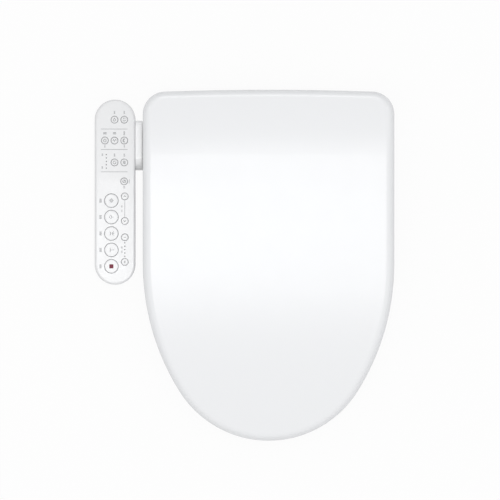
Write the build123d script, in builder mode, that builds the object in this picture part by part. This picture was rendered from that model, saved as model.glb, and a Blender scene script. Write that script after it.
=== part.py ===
from build123d import *
import os
from math import cos, pi, radians, sin, sqrt

os.makedirs("parts", exist_ok=True)

# Frame: +Z up, front of the seat towards -Y, control panel on the -X side.
# The origin is midway between the two toilet bolts, on the bowl rim.

# Lid plan outline
LID_HALF_W = 189.0
LID_REAR_Y = 57.0
LID_FRONT_Y = -471.0
LID_REAR_BOW = 4.0
LID_CORNER_R = 34.0
LID_FRONT_R = 158.0
LID_FLANK_START_Y = -205.0
# Lid side profile
LID_CREST_Y = -40.0
LID_CREST_Z = 105.0
LID_REAR_CURVE_R = 560.0
LID_FRONT_CURVE_R = 2370.0
LID_EDGE_REAR_Z = 62.0
LID_EDGE_KNEE = (-10.0, 47.0)
LID_EDGE_KNEE_R = 120.0
LID_EDGE_FRONT_Z = 43.5
LID_RIM_R = 12.0
LID_WALL = 2.8
# Lid and seat share one hinge axis along X
HINGE_Y = 18.0
HINGE_Z = 60.0
EAR_R = 13.0
SEAT_EAR_X = (152.0, 166.0)
LID_EAR_X = (168.0, 187.0)
LID_EAR_WEB_X1 = 180.0
SHAFT_R = 5.0
SHAFT_TIP_R = 3.45
SHAFT_SQUARE = 7.0
RUN = 0.05
SEAT_GAP = 0.1
# Seat ring
SEAT_INSET = 3.0
SEAT_REAR_Y = -100.0
SEAT_BOTTOM_Z = 10.0
SEAT_TOP_Z = 41.5
SEAT_WALL = 3.0
SEAT_PLATE_T = 2.5
SEAT_INNER_R = 16.0
SEAT_OUTER_R = 9.0
HOLE_FRONT = (-302.0, 106.0)
HOLE_REAR = (-256.0, 98.0)
SEAT_ARM_ROOT = (SEAT_REAR_Y - 4, 27.0)
SEAT_ARM_ROOT_R = 11.0
SEAT_ARM_EDGE_R = 2.5
HEATER_INSET = 16.0
HEATER_T = 0.6
SEAT_BUMPERS = [(-145, -200), (145, -200), (-112, -385), (112, -385)]
BUMPER_L = 34.0
BUMPER_W = 14.0
BUMPER_EDGE_R = 2.0
LID_BUMPER_X = 100.0
LID_BUMPER_Y = -390.0
LID_BUMPER_R = 6.0
LID_BUMPER_GAP = 0.3
LID_POST_R = 7.0
LID_POST_Z = 46.0
LID_POST_H = 32.0
LID_EAR_DROP = 4.6
# Main unit
UNIT_HALF_W = 150.0
UNIT_FRONT_Y = -92.0
UNIT_REAR_Y = 2.0
BASE_BOTTOM_Z = 1.5
SPLIT_Z = 34.0
BARREL_R = 25.5
NOSE_R = 40.0
CASE_WALL = 2.8
CASE_END_R = 10.0
FLOOR_Z = 4.0
BAY_TOP_Z = 30.0
NOZZLE_BAY_HALF_W = 40.0
NOZZLE_BAY_D = 30.0
DRYER_BAY_D = 18.0
CHANNEL_HALF_W = 104.0
CHANNEL_FRONT_Y = -44.0
CHANNEL_TOP_Z = 12.0
INTAKE_XY = (128.0, -60.0)
INTAKE_SLOT = (26.0, 2.4)
INTAKE_PITCH = 6.0
INTAKE_COUNT = 5
FOOT_XY = [(x, y) for x in (-132, 132) for y in (-80, -10)]
FOOT_L = 22.0
FOOT_W = 12.0
FOOT_CORNER_R = 4.0
# Mounting plate and toilet bolts
PLATE_HALF_W = 95.0
PLATE_TOP_HALF_W = 100.0
PLATE_T = 8.0
PLATE_Y = (-40.0, 34.0)
PLATE_GAP = 0.4
BOLT_X = 70.0
BOLT_HOLE_R = 4.25
BOLT_POCKET_HALF_W = 20.0
BOLT_POCKET_TOP_Z = 27.0
BOLT_POCKET_FRONT_Y = -34.0
BOLT_POCKET_WALL = 3.0
ADJUSTER_W = 24.0
ADJUSTER_L = 26.0
ADJUSTER_SLOT_L = 52.0
ADJUSTER_FLANGE = (34.0, 30.0, 3.0)
ADJUSTER_EDGE_R = 1.2
PLATE_WINDOW = (70.0, 44.0)
PLATE_WINDOW_R = 6.0
# Wash nozzles: tip position when stowed, slope and drive
NOZZLE_X = 12.0
NOZZLE_TIP_Y = -72.0
NOZZLE_TIP_Z = 13.0
NOZZLE_SLOPE = radians(28.0)
NOZZLE_R = 7.0
NOZZLE_L = 112.0
TIP_L = 10.0
MODULE = 1.0
PINION_TEETH = 12
PINION_AT = 24.0
PITCH_R = MODULE * PINION_TEETH / 2
RACK_PITCH_X = 10.5
RACK_HALF_H = 3.0
PINION_X = RACK_PITCH_X + PITCH_R
MOTOR_R = 12.0
MOTOR_L = 19.0
SPIGOT_R = 4.0
SPIGOT_AT = 3.0
WATER_BORE_R = 1.6
RACK_BAR = (5.5, 9.2)
JET_R = 0.7
DRIVE_SHAFT_R = 2.0
DRIVE_SHAFT = (-12.0, 21.5)
# Half teeth as (distance from the rack's tube axis or the pinion's axis, half width)
RACK_TOOTH = [(9.1, 1.1), (RACK_PITCH_X, 0.64), (RACK_PITCH_X + 0.75, 0.38)]
PINION_ROOT_R = 4.75
PINION_TOOTH = [(4.5, 0.85), (5.6, 0.78), (PITCH_R, 0.62), (PITCH_R + MODULE, 0.2)]
# Flaps in the front bay
FLAP_HINGE_Y = -77.0
FLAP_HINGE_Z = 25.0
FLAP_L = 20.0
FLAP_T = 2.0
FLAP_KNUCKLE_R = 2.5
FLAP_WALL_T = 3.0
FLAP_WALL_D = 20.0
FLAP_WALL_TOP_Z = 31.0
GATE_HALF_W = 37.0
GATE_NOTCH_X = 14.4
GATE_NOTCH = (20.4, 10.0, 29.0)
DRYER_X = -78.0
DRYER_HALF_W = 22.0
# Blower
BLOWER_XY = (-78.0, -33.0)
BLOWER_R = 30.0
BLOWER_Z = (30.0, 56.0)
BLOWER_WALL = 2.0
BLOWER_VENTS = (22.0, 10, 3.0)
IMPELLER_Z = 35.0
IMPELLER_R = 25.0
IMPELLER_H = 16.0
IMPELLER_BLADES = (20.0, 14)
IMPELLER_BLADE = (10.0, 1.2)
IMPELLER_HUB_R = 6.0
BLOWER_SHAFT_R = 2.0
BLOWER_SHAFT_L = 35.0
BLOWER_MOTOR_R = 15.0
BLOWER_MOTOR_L = 22.0
# Control panel
PANEL_X = -231.3
PANEL_Y = -96.6
PANEL_W = 61.4
PANEL_L = 279.0
PANEL_BOTTOM_Z = 12.0
FASCIA_Z = (36.0, 42.0)
FASCIA_PLATE_Z = 39.2
FASCIA_RIM_R = 3.4
PANEL_WALL = 2.6
ARM_FRONT_Y = -63.5
ARM_BOTTOM_Z = 7.0
ARM_STEPS = ((-190.5, 11.0, 41.6, 20.0), (-169.5, 9.0, 36.0, 20.0), (-150.0, 9.0, 26.0, 17.0))
ARM_REAR_R = 6.0
KEY_TRAVEL = 0.8
KEY_PROUD = 0.6
BIG_KEY_R = 9.9
SMALL_KEY_R = 4.8
KEY_GAP = 0.3
BIG_COLUMN_X = -236.8
SMALL_COLUMN_X = -216.6
TOP_COLUMNS_X = (-246.6, -232.1, -217.4)
BIG_KEY_FIRST_Y = -109.4
BIG_KEY_PITCH = 24.75
BIG_KEY_NAMES = ["dry_key", "massage_key", "front_wash_key", "rear_wash_key", "stop_key"]
BIG_KEYS = {
    name: (BIG_COLUMN_X, BIG_KEY_FIRST_Y - i * BIG_KEY_PITCH)
    for i, name in enumerate(BIG_KEY_NAMES)
}
SMALL_KEYS = {
    "water_heat_key": (TOP_COLUMNS_X[1], 12.6),
    "seat_heat_key": (TOP_COLUMNS_X[2], 12.6),
    "power_key": (TOP_COLUMNS_X[0], -18.8),
    "pulse_key": (TOP_COLUMNS_X[1], -18.8),
    "eco_key": (TOP_COLUMNS_X[2], -18.8),
    "nozzle_clean_key": (TOP_COLUMNS_X[1], -51.8),
    "air_heat_key": (TOP_COLUMNS_X[2], -51.8),
    "child_wash_key": (SMALL_COLUMN_X - 1, -80.3),
    "nozzle_back_key": (SMALL_COLUMN_X, -103.0),
    "nozzle_forward_key": (SMALL_COLUMN_X, -140.1),
    "pressure_down_key": (SMALL_COLUMN_X, -164.6),
    "pressure_up_key": (SMALL_COLUMN_X, -201.8),
}
LIGHT_R = 0.9
LIGHT_PITCH = 5.1
LEVEL_LIGHTS = (-244.4, -40.0)
PRESSURE_LIGHTS = (SMALL_COLUMN_X, -173.0)
# Water and power inlets on the +X side
INLET_Y = -25.0
INLET_Z = 14.0
INLET_R = 10.4
INLET_END_X = 184.0
GLAND_Y = -56.0
GLAND_Z = 13.0
GLAND_BORE_R = 3.6
BUTTON_Y = -73.0
BUTTON_Z = 14.0

# Hinge dampers, flap pins, boards and small openings
DAMPER_R = 11.0
DAMPER_NOSE_R = 7.0
DAMPER_X0 = 88.0
DAMPER_BORE_X0 = 106.0
DAMPER_EDGE_R = 2.0
DAMPER_FIN_X = 110.0
DAMPER_FIN = (36.0, 6.0, 2 * BARREL_R - 2 * CASE_WALL - 0.6)
FLAP_PIN_R = 1.5
FLAP_WALLS = (-41.5, 41.5, DRYER_X - DRYER_HALF_W - 4.5, DRYER_X + DRYER_HALF_W + 4.5)
BOARD_Z = 72.4
BOARD_T = 1.6
BOARD_POSTS = [(-38, -55), (38, -55), (-38, -9), (38, -9)]
BOARD_PARTS = [(20, -46, 26, 18, 11), (24, -18, 12, 22, 7), (-8, -20, 20, 14, 3)]
PANEL_BOARD_Z = 29.4
CABLE_Y = -26.0
CABLE_Z = 19.5
CABLE_R = 4.0
INLET_NECK_R = 8.0
INLET_NECK_X0 = 138.0
INLET_NUT_R = 12.2
INLET_NUT_T = 6.0
INLET_BORE_R = 6.0
INLET_EDGE = 1.2
GLAND_R = 6.4
BUTTON_W = 14.0
BUTTON_H = 9.0
BUTTON_PROUD = 1.5
RISE = (Align.CENTER, Align.CENTER, Align.MIN)
FROM_FRONT = (Align.CENTER, Align.MIN, Align.MIN)


def save(built, name):
    """Label a finished piece and write its file."""
    built.part.label = name
    export_step(built.part, f"parts/{name}.step")


def flank_radius(half_w, front_y, front_r):
    """Radius of the arc that leaves the straight side and runs into the front arc."""
    rise = LID_FLANK_START_Y - (front_y + front_r)
    return (half_w**2 + rise**2 - front_r**2) / (2 * (half_w - front_r))


def plan_face(inset, z, rear_y=None):
    """Lid outline at height z, moved in by inset; rear_y gives a straight rear edge instead."""
    half_w, front_y, front_r = LID_HALF_W - inset, LID_FRONT_Y + inset, LID_FRONT_R - inset
    flank_r = flank_radius(half_w, front_y, front_r)
    front_cy = front_y + front_r
    away_x, away_y = flank_r - half_w, front_cy - LID_FLANK_START_Y
    reach = sqrt(away_x**2 + away_y**2)
    meet = (front_r * away_x / reach, front_cy + front_r * away_y / reach)
    corner_y = LID_REAR_Y - LID_REAR_BOW - inset if rear_y is None else rear_y
    with BuildSketch(Plane.XY.offset(z)) as plan:
        with BuildLine():
            Line((half_w, corner_y), (half_w, LID_FLANK_START_Y))
            RadiusArc((half_w, LID_FLANK_START_Y), meet, flank_r)
            ThreePointArc(meet, (0, front_y), (-meet[0], meet[1]))
            RadiusArc((-meet[0], meet[1]), (-half_w, LID_FLANK_START_Y), flank_r)
            Line((-half_w, LID_FLANK_START_Y), (-half_w, corner_y))
            if rear_y is None:
                ThreePointArc((-half_w, corner_y), (0, LID_REAR_Y - inset), (half_w, corner_y))
            else:
                Line((-half_w, corner_y), (half_w, corner_y))
        make_face()
        corner_r = LID_CORNER_R - inset if rear_y is None else SEAT_WALL * 4
        fillet(plan.vertices().group_by(Axis.Y)[-1], corner_r)
    return plan.sketch


def lid_profile(drop, lower):
    """Side profile of the lid in the YZ plane: two tangent arcs over a lower edge swept up at the rear."""
    rear_y, front_y = LID_REAR_Y + 10, LID_FRONT_Y - 10
    rear_z = LID_CREST_Z - LID_REAR_CURVE_R
    front_z = LID_CREST_Z - LID_FRONT_CURVE_R

    def top(y, centre_z, radius):
        return centre_z + sqrt(radius**2 - (y - LID_CREST_Y) ** 2) - drop

    knee_y, knee_z = LID_EDGE_KNEE
    sweep_up = (LID_EDGE_REAR_Z - knee_z) / (LID_REAR_Y - knee_y)
    rear_low = (rear_y, knee_z + sweep_up * (rear_y - knee_y) - lower)
    front_low = (front_y, LID_EDGE_FRONT_Z - lower)
    crest = (LID_CREST_Y, LID_CREST_Z - drop)
    rear_mid, front_mid = (LID_CREST_Y + rear_y) / 2, (LID_CREST_Y + front_y) / 2
    with BuildSketch(Plane.YZ) as profile:
        with BuildLine():
            ThreePointArc(
                (front_y, top(front_y, front_z, LID_FRONT_CURVE_R)),
                (front_mid, top(front_mid, front_z, LID_FRONT_CURVE_R)),
                crest,
            )
            ThreePointArc(
                crest,
                (rear_mid, top(rear_mid, rear_z, LID_REAR_CURVE_R)),
                (rear_y, top(rear_y, rear_z, LID_REAR_CURVE_R)),
            )
            Line((rear_y, top(rear_y, rear_z, LID_REAR_CURVE_R)), rear_low)
            FilletPolyline(rear_low, (knee_y, knee_z - lower), front_low, radius=LID_EDGE_KNEE_R)
            Line(front_low, (front_y, top(front_y, front_z, LID_FRONT_CURVE_R)))
        make_face()
    return profile.sketch


def lid_block(inset, rim_r, lower):
    """Solid under the lid's skin, moved in by inset, with its upper rim rounded."""
    with BuildPart() as block:
        extrude(lid_profile(inset, lower), amount=LID_HALF_W + 10, both=True)
        extrude(plan_face(inset, 0), amount=2 * LID_CREST_Z, mode=Mode.INTERSECT)
        roof = [f for f in block.faces() if f.normal_at().Z > 0.9]
        rim = [e for f in roof for e in f.edges() if e.geom_type != GeomType.LINE]
        fillet(rim, rim_r)
    return block.part


# Lid
with BuildPart() as lid_shell:
    add(lid_block(0, LID_RIM_R, 0))
    add(lid_block(LID_WALL, LID_RIM_R - LID_WALL, 30), mode=Mode.SUBTRACT)
    ear_roof_z = LID_CREST_Z - LID_EAR_DROP
    for side in (-1, 1):
        start = Plane.YZ.offset(side * LID_EAR_X[0])
        with BuildSketch(start):
            with Locations((HINGE_Y, (HINGE_Z + ear_roof_z) / 2)):
                Rectangle(2 * EAR_R, ear_roof_z - HINGE_Z)
        extrude(amount=side * (LID_EAR_WEB_X1 - LID_EAR_X[0]))
        with BuildSketch(start):
            with Locations((HINGE_Y, HINGE_Z)):
                Circle(EAR_R)
        extrude(amount=side * (LID_EAR_X[1] - LID_EAR_X[0]))
        with Locations((side * LID_BUMPER_X, LID_BUMPER_Y, LID_POST_Z)):
            Cylinder(LID_POST_R, LID_POST_H, align=RISE)
    with BuildSketch(Plane.YZ.offset(LID_EAR_X[0])):
        with Locations((HINGE_Y, HINGE_Z)):
            Circle(SHAFT_TIP_R + RUN)
    extrude(amount=LID_EAR_X[1] - LID_EAR_X[0], mode=Mode.SUBTRACT)
    with BuildSketch(Plane.YZ.offset(-LID_EAR_X[0])):
        with Locations((HINGE_Y, HINGE_Z)):
            Rectangle(SHAFT_SQUARE, SHAFT_SQUARE)
    extrude(amount=-(LID_EAR_X[1] - LID_EAR_X[0]), mode=Mode.SUBTRACT)
save(lid_shell, "lid_shell")

with BuildPart() as lid_bumpers:
    bumper_z = SEAT_TOP_Z + LID_BUMPER_GAP
    with Locations(*[(side * LID_BUMPER_X, LID_BUMPER_Y, bumper_z) for side in (-1, 1)]):
        Cylinder(LID_BUMPER_R, LID_POST_Z - bumper_z, align=RISE)
    fillet(lid_bumpers.edges().group_by(Axis.Z)[0], 1.5)
save(lid_bumpers, "lid_bumpers")


def hole_face(grow, z):
    """Seat opening at height z, made wider by grow."""
    with BuildSketch(Plane.XY.offset(z)) as hole:
        with Locations((0, HOLE_FRONT[0])):
            Circle(HOLE_FRONT[1] + grow)
        with Locations((0, HOLE_REAR[0])):
            Circle(HOLE_REAR[1] + grow)
        make_hull()
    return hole.sketch


def ring_block(inset, z0, z1, outer_r, inner_r):
    """Seat ring moved in by inset from both edges, between two heights, with rounded upper edges."""
    with BuildPart() as ring:
        outline = plan_face(SEAT_INSET + inset, z0, SEAT_REAR_Y - inset)
        extrude(outline, amount=z1 - z0)
        extrude(hole_face(inset, z0), amount=z1 - z0, mode=Mode.SUBTRACT)
        top = ring.faces().sort_by(Axis.Z)[-1]
        if inner_r:
            fillet(top.inner_wires()[0].edges(), inner_r)
        if outer_r:
            top = ring.faces().sort_by(Axis.Z)[-1]
            fillet(top.outer_wire().edges(), outer_r)
    return ring.part


# Seat ring with its two hinge arms
with BuildPart() as seat_top:
    add(ring_block(0, SEAT_BOTTOM_Z, SEAT_TOP_Z, SEAT_OUTER_R, SEAT_INNER_R))
    cavity_top = SEAT_TOP_Z - SEAT_WALL
    add(
        ring_block(SEAT_WALL, SEAT_BOTTOM_Z, cavity_top, SEAT_OUTER_R - SEAT_WALL, SEAT_INNER_R - SEAT_WALL),
        mode=Mode.SUBTRACT,
    )
    for side in (-1, 1):
        with BuildPart(mode=Mode.PRIVATE) as hinge_arm:
            with BuildSketch(Plane.YZ.offset(side * SEAT_EAR_X[0])):
                with Locations((HINGE_Y, HINGE_Z)):
                    Circle(EAR_R)
                with Locations(SEAT_ARM_ROOT):
                    Circle(SEAT_ARM_ROOT_R)
                make_hull()
            extrude(amount=side * (SEAT_EAR_X[1] - SEAT_EAR_X[0]))
            fillet(hinge_arm.faces().filter_by(Axis.X).edges(), SEAT_ARM_EDGE_R)
        add(hinge_arm.part)
    with BuildSketch(Plane.YZ.offset(-SEAT_EAR_X[0])):
        with Locations((HINGE_Y, HINGE_Z)):
            Circle(SHAFT_R + RUN)
    extrude(amount=-(SEAT_EAR_X[1] - SEAT_EAR_X[0]), mode=Mode.SUBTRACT)
    with BuildSketch(Plane.YZ.offset(SEAT_EAR_X[0])):
        with Locations((HINGE_Y, HINGE_Z)):
            Rectangle(SHAFT_SQUARE, SHAFT_SQUARE)
    extrude(amount=SEAT_EAR_X[1] - SEAT_EAR_X[0], mode=Mode.SUBTRACT)
save(seat_top, "seat_top")

with BuildPart() as seat_bottom:
    add(ring_block(SEAT_WALL, SEAT_BOTTOM_Z, SEAT_BOTTOM_Z + SEAT_PLATE_T, 0, 0))
save(seat_bottom, "seat_bottom")

with BuildPart() as seat_heater:
    add(ring_block(SEAT_WALL + HEATER_INSET, cavity_top - HEATER_T, cavity_top, 0, 0))
save(seat_heater, "seat_heater")

with BuildPart() as seat_bumpers:
    for x, y in SEAT_BUMPERS:
        with BuildSketch(Plane.XY.offset(SEAT_BOTTOM_Z)):
            with Locations((x, y)):
                SlotOverall(BUMPER_L, BUMPER_W, rotation=90)
        extrude(amount=-SEAT_BOTTOM_Z)
    fillet(seat_bumpers.edges().group_by(Axis.Z)[0], BUMPER_EDGE_R)
save(seat_bumpers, "seat_bumpers")


def unit_block(inset, end_r):
    """Upper half of the main unit moved in by inset: a nosed block run into a hinge barrel."""
    half_w = UNIT_HALF_W - inset
    front, roof = UNIT_FRONT_Y + inset, HINGE_Z + BARREL_R - inset
    nose_r = NOSE_R - inset
    floor = SPLIT_Z
    with BuildPart() as block:
        with BuildSketch(Plane.YZ):
            with BuildLine():
                Line((UNIT_REAR_Y - inset, floor), (front, floor))
                Line((front, floor), (front, roof - nose_r))
                RadiusArc((front, roof - nose_r), (front + nose_r, roof), nose_r)
                Polyline(
                    (front + nose_r, roof),
                    (HINGE_Y, roof),
                    (HINGE_Y, HINGE_Z),
                    (UNIT_REAR_Y - inset, floor),
                )
            make_face()
        extrude(amount=half_w, both=True)
        ends = block.faces().filter_by(Axis.X)
        upper = [e for f in ends for e in f.edges() if e.center().Y < HINGE_Y - 10]
        fillet([e for e in upper if e.center().Z > floor + 1 and e.center().Y < 5], end_r)
        with BuildSketch(Plane.YZ.offset(-half_w)) as barrel:
            with Locations((HINGE_Y, HINGE_Z)):
                Circle(BARREL_R - inset)
        with BuildPart(mode=Mode.PRIVATE) as roll:
            extrude(barrel.sketch, amount=2 * half_w)
            fillet(roll.edges().filter_by(GeomType.CIRCLE), end_r)
        add(roll.part)
    return block.part


with BuildPart() as upper_case:
    add(unit_block(0, CASE_END_R))
    add(unit_block(CASE_WALL, CASE_END_R - CASE_WALL), mode=Mode.SUBTRACT)
    ceiling = HINGE_Z + BARREL_R - CASE_WALL
    for x, y in BOARD_POSTS:
        with Locations((x, y, BOARD_Z + BOARD_T)):
            Cylinder(4, ceiling + 1 - BOARD_Z - BOARD_T, align=RISE)
    for side in (-1, 1):
        with BuildSketch(Plane.YZ.offset(side * UNIT_HALF_W)):
            with Locations((HINGE_Y, HINGE_Z)):
                Circle(DAMPER_NOSE_R + SEAT_GAP)
        extrude(amount=-side * CASE_WALL, mode=Mode.SUBTRACT)
save(upper_case, "upper_case")

# Base of the main unit: tray, bolt channel, nozzle bay and dryer mouth
with BuildPart() as base_case:
    unit_mid_y = (UNIT_FRONT_Y + UNIT_REAR_Y) / 2
    unit_depth = UNIT_REAR_Y - UNIT_FRONT_Y
    for grow, z0, mode in ((0, BASE_BOTTOM_Z, Mode.ADD), (-CASE_WALL, FLOOR_Z, Mode.SUBTRACT)):
        with BuildSketch(Plane.XY.offset(z0)):
            with Locations((0, unit_mid_y)):
                RectangleRounded(
                    2 * (UNIT_HALF_W + grow), unit_depth + 2 * grow, CASE_END_R + grow
                )
        extrude(amount=SPLIT_Z - z0, mode=mode)
    # raised floor over the mounting plate and the two bolt heads
    pocket_half_w = BOLT_POCKET_HALF_W + BOLT_POCKET_WALL
    pocket_front_y = BOLT_POCKET_FRONT_Y - BOLT_POCKET_WALL
    pocket_top_z = BOLT_POCKET_TOP_Z + BOLT_POCKET_WALL
    for x, half_w, y0, z1 in (
        (0, CHANNEL_HALF_W, CHANNEL_FRONT_Y, CHANNEL_TOP_Z),
        (-BOLT_X, pocket_half_w, pocket_front_y, pocket_top_z),
        (BOLT_X, pocket_half_w, pocket_front_y, pocket_top_z),
    ):
        with Locations((x, y0, BASE_BOTTOM_Z)):
            Box(2 * half_w, UNIT_REAR_Y - y0, z1 - BASE_BOTTOM_Z, align=FROM_FRONT)
    # side walls that carry the flap hinges
    for x in FLAP_WALLS:
        with Locations((x, UNIT_FRONT_Y + 2, BASE_BOTTOM_Z)):
            Box(FLAP_WALL_T, FLAP_WALL_D, FLAP_WALL_TOP_Z - BASE_BOTTOM_Z, align=FROM_FRONT)
    for x, half_w, depth in (
        (0, NOZZLE_BAY_HALF_W, NOZZLE_BAY_D),
        (DRYER_X, DRYER_HALF_W + FLAP_WALL_T, DRYER_BAY_D),
    ):
        with Locations((x, UNIT_FRONT_Y - 1, 0)):
            Box(2 * half_w, depth, BAY_TOP_Z, align=FROM_FRONT, mode=Mode.SUBTRACT)
    for x in FLAP_WALLS:
        with Locations(Location((x, FLAP_HINGE_Y, FLAP_HINGE_Z), (0, 90, 0))):
            Cylinder(FLAP_PIN_R + RUN, FLAP_WALL_T, mode=Mode.SUBTRACT)
    # dovetail channel, open to the rear, and clearance over the bolt heads
    with BuildSketch(Plane.XZ.offset(-UNIT_REAR_Y - 1)):
        spread = (PLATE_TOP_HALF_W - PLATE_HALF_W) / PLATE_T
        low = PLATE_HALF_W + PLATE_GAP
        high = low + spread * (PLATE_T + PLATE_GAP)
        Polygon(
            (-low, 0),
            (low, 0),
            (high, PLATE_T + PLATE_GAP),
            (-high, PLATE_T + PLATE_GAP),
            align=None,
        )
    extrude(amount=UNIT_REAR_Y + 1 - PLATE_Y[0] + PLATE_GAP, mode=Mode.SUBTRACT)
    for x in (-BOLT_X, BOLT_X):
        with Locations((x, BOLT_POCKET_FRONT_Y, PLATE_T)):
            Box(
                2 * BOLT_POCKET_HALF_W,
                UNIT_REAR_Y + 1 - BOLT_POCKET_FRONT_Y,
                BOLT_POCKET_TOP_Z - PLATE_T,
                align=FROM_FRONT,
                mode=Mode.SUBTRACT,
            )
    # openings in the side walls: water, power, release button and panel cable
    for x, y, z, radius in (
        (UNIT_HALF_W, INLET_Y, INLET_Z, INLET_NECK_R + SEAT_GAP),
        (UNIT_HALF_W, GLAND_Y, GLAND_Z, GLAND_R + SEAT_GAP),
        (-UNIT_HALF_W, CABLE_Y, CABLE_Z, CABLE_R),
    ):
        with Locations(Location((x, y, z), (0, 90, 0))):
            Cylinder(radius, 12, mode=Mode.SUBTRACT)
    with Locations((UNIT_HALF_W, BUTTON_Y, BUTTON_Z)):
        Box(12, BUTTON_W + 0.6, BUTTON_H + 0.6, mode=Mode.SUBTRACT)
    # air intake slots under the water side
    with Locations((*INTAKE_XY, 0)):
        with GridLocations(0, INTAKE_PITCH, 1, INTAKE_COUNT):
            Box(*INTAKE_SLOT, 3 * FLOOR_Z, mode=Mode.SUBTRACT)
save(base_case, "base_case")

with BuildPart() as base_feet:
    with Locations(*[(x, y, 0) for x, y in FOOT_XY]):
        Box(FOOT_L, FOOT_W, BASE_BOTTOM_Z, align=RISE)
    fillet(base_feet.edges().filter_by(Axis.Z), FOOT_CORNER_R)
save(base_feet, "base_feet")

# Mounting plate with two bolt adjusters
with BuildPart() as mounting_plate:
    with BuildSketch(Plane.XZ.offset(-PLATE_Y[1])):
        Polygon(
            (-PLATE_HALF_W, 0),
            (PLATE_HALF_W, 0),
            (PLATE_TOP_HALF_W, PLATE_T),
            (-PLATE_TOP_HALF_W, PLATE_T),
            align=None,
        )
    extrude(amount=PLATE_Y[1] - PLATE_Y[0])
    plate_mid_y = sum(PLATE_Y) / 2
    with Locations((-BOLT_X, plate_mid_y, 0), (BOLT_X, plate_mid_y, 0)):
        Box(ADJUSTER_W, ADJUSTER_SLOT_L, 3 * PLATE_T, mode=Mode.SUBTRACT)
    with Locations((0, plate_mid_y, 0)):
        Box(*PLATE_WINDOW, 3 * PLATE_T, mode=Mode.SUBTRACT)
    window_x = PLATE_WINDOW[0] / 2 + 1
    upright = mounting_plate.edges().filter_by(Axis.Z)
    fillet(upright.filter_by_position(Axis.X, -window_x, window_x), PLATE_WINDOW_R)
save(mounting_plate, "mounting_plate")

with BuildPart() as plate_adjusters:
    for x in (-BOLT_X, BOLT_X):
        with Locations((x, 0, 0)):
            Box(ADJUSTER_W, ADJUSTER_L, PLATE_T, align=RISE)
        with Locations((x, 0, PLATE_T)):
            Box(*ADJUSTER_FLANGE, align=RISE)
        with Locations((x, 0, 0)):
            Cylinder(BOLT_HOLE_R, 60, mode=Mode.SUBTRACT)
    fillet(plate_adjusters.edges().group_by(Axis.Z)[-1].filter_by(GeomType.LINE), ADJUSTER_EDGE_R)
save(plate_adjusters, "plate_adjusters")


def along_x(radius, x0, x1, y, z, mode=Mode.ADD):
    """Round bar along X between two stations."""
    with BuildPart(mode=Mode.PRIVATE) as bar:
        with Locations(Location(((x0 + x1) / 2, y, z), (0, 90, 0))):
            Cylinder(radius, abs(x1 - x0))
    return add(bar.part, mode=mode)


# Hinge dampers in the barrel and the shafts they turn on
for side, name in ((1, "seat_damper"), (-1, "lid_damper")):
    wall_x = UNIT_HALF_W - CASE_WALL
    with BuildPart() as damper:
        along_x(DAMPER_R, side * DAMPER_X0, side * wall_x, HINGE_Y, HINGE_Z)
        fillet(damper.edges().filter_by(GeomType.CIRCLE).sort_by(Axis.X)[:: side][:1], DAMPER_EDGE_R)
        along_x(DAMPER_NOSE_R, side * wall_x, side * UNIT_HALF_W, HINGE_Y, HINGE_Z)
        with Locations((side * DAMPER_FIN_X, HINGE_Y, HINGE_Z)):
            Box(*DAMPER_FIN)
        bore_x1 = UNIT_HALF_W + CASE_WALL
        along_x(SHAFT_R + RUN, side * DAMPER_BORE_X0, side * bore_x1, HINGE_Y, HINGE_Z, Mode.SUBTRACT)
    save(damper, name)

with BuildPart() as seat_damper_shaft:
    along_x(SHAFT_R, DAMPER_BORE_X0 + 1, SEAT_EAR_X[0], HINGE_Y, HINGE_Z)
    with Locations((sum(SEAT_EAR_X) / 2, HINGE_Y, HINGE_Z)):
        Box(SEAT_EAR_X[1] - SEAT_EAR_X[0], SHAFT_SQUARE, SHAFT_SQUARE)
    along_x(SHAFT_TIP_R, SEAT_EAR_X[1], LID_EAR_X[1] - 1, HINGE_Y, HINGE_Z)
save(seat_damper_shaft, "seat_damper_shaft")

with BuildPart() as lid_damper_shaft:
    along_x(SHAFT_R, -DAMPER_BORE_X0 - 1, -LID_EAR_X[0], HINGE_Y, HINGE_Z)
    with Locations((-sum(LID_EAR_X) / 2, HINGE_Y, HINGE_Z)):
        Box(LID_EAR_X[1] - LID_EAR_X[0], SHAFT_SQUARE, SHAFT_SQUARE)
save(lid_damper_shaft, "lid_damper_shaft")


def nozzle_plane(x):
    """Frame of one nozzle: z runs from the stowed tip back up along the tube."""
    return Plane((x, NOZZLE_TIP_Y, NOZZLE_TIP_Z), (1, 0, 0), (0, cos(NOZZLE_SLOPE), sin(NOZZLE_SLOPE)))


def drive_plane(x):
    """Frame of one rack drive: y runs forward along the tube, z square to it and downwards."""
    return Plane((x, NOZZLE_TIP_Y, NOZZLE_TIP_Z), (1, 0, 0), (0, sin(NOZZLE_SLOPE), -cos(NOZZLE_SLOPE)))


def tooth(half, side=1):
    """Corners of a whole tooth from its half profile."""
    return [(side * r, -w) for r, w in half] + [(side * r, w) for r, w in reversed(half)]


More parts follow.
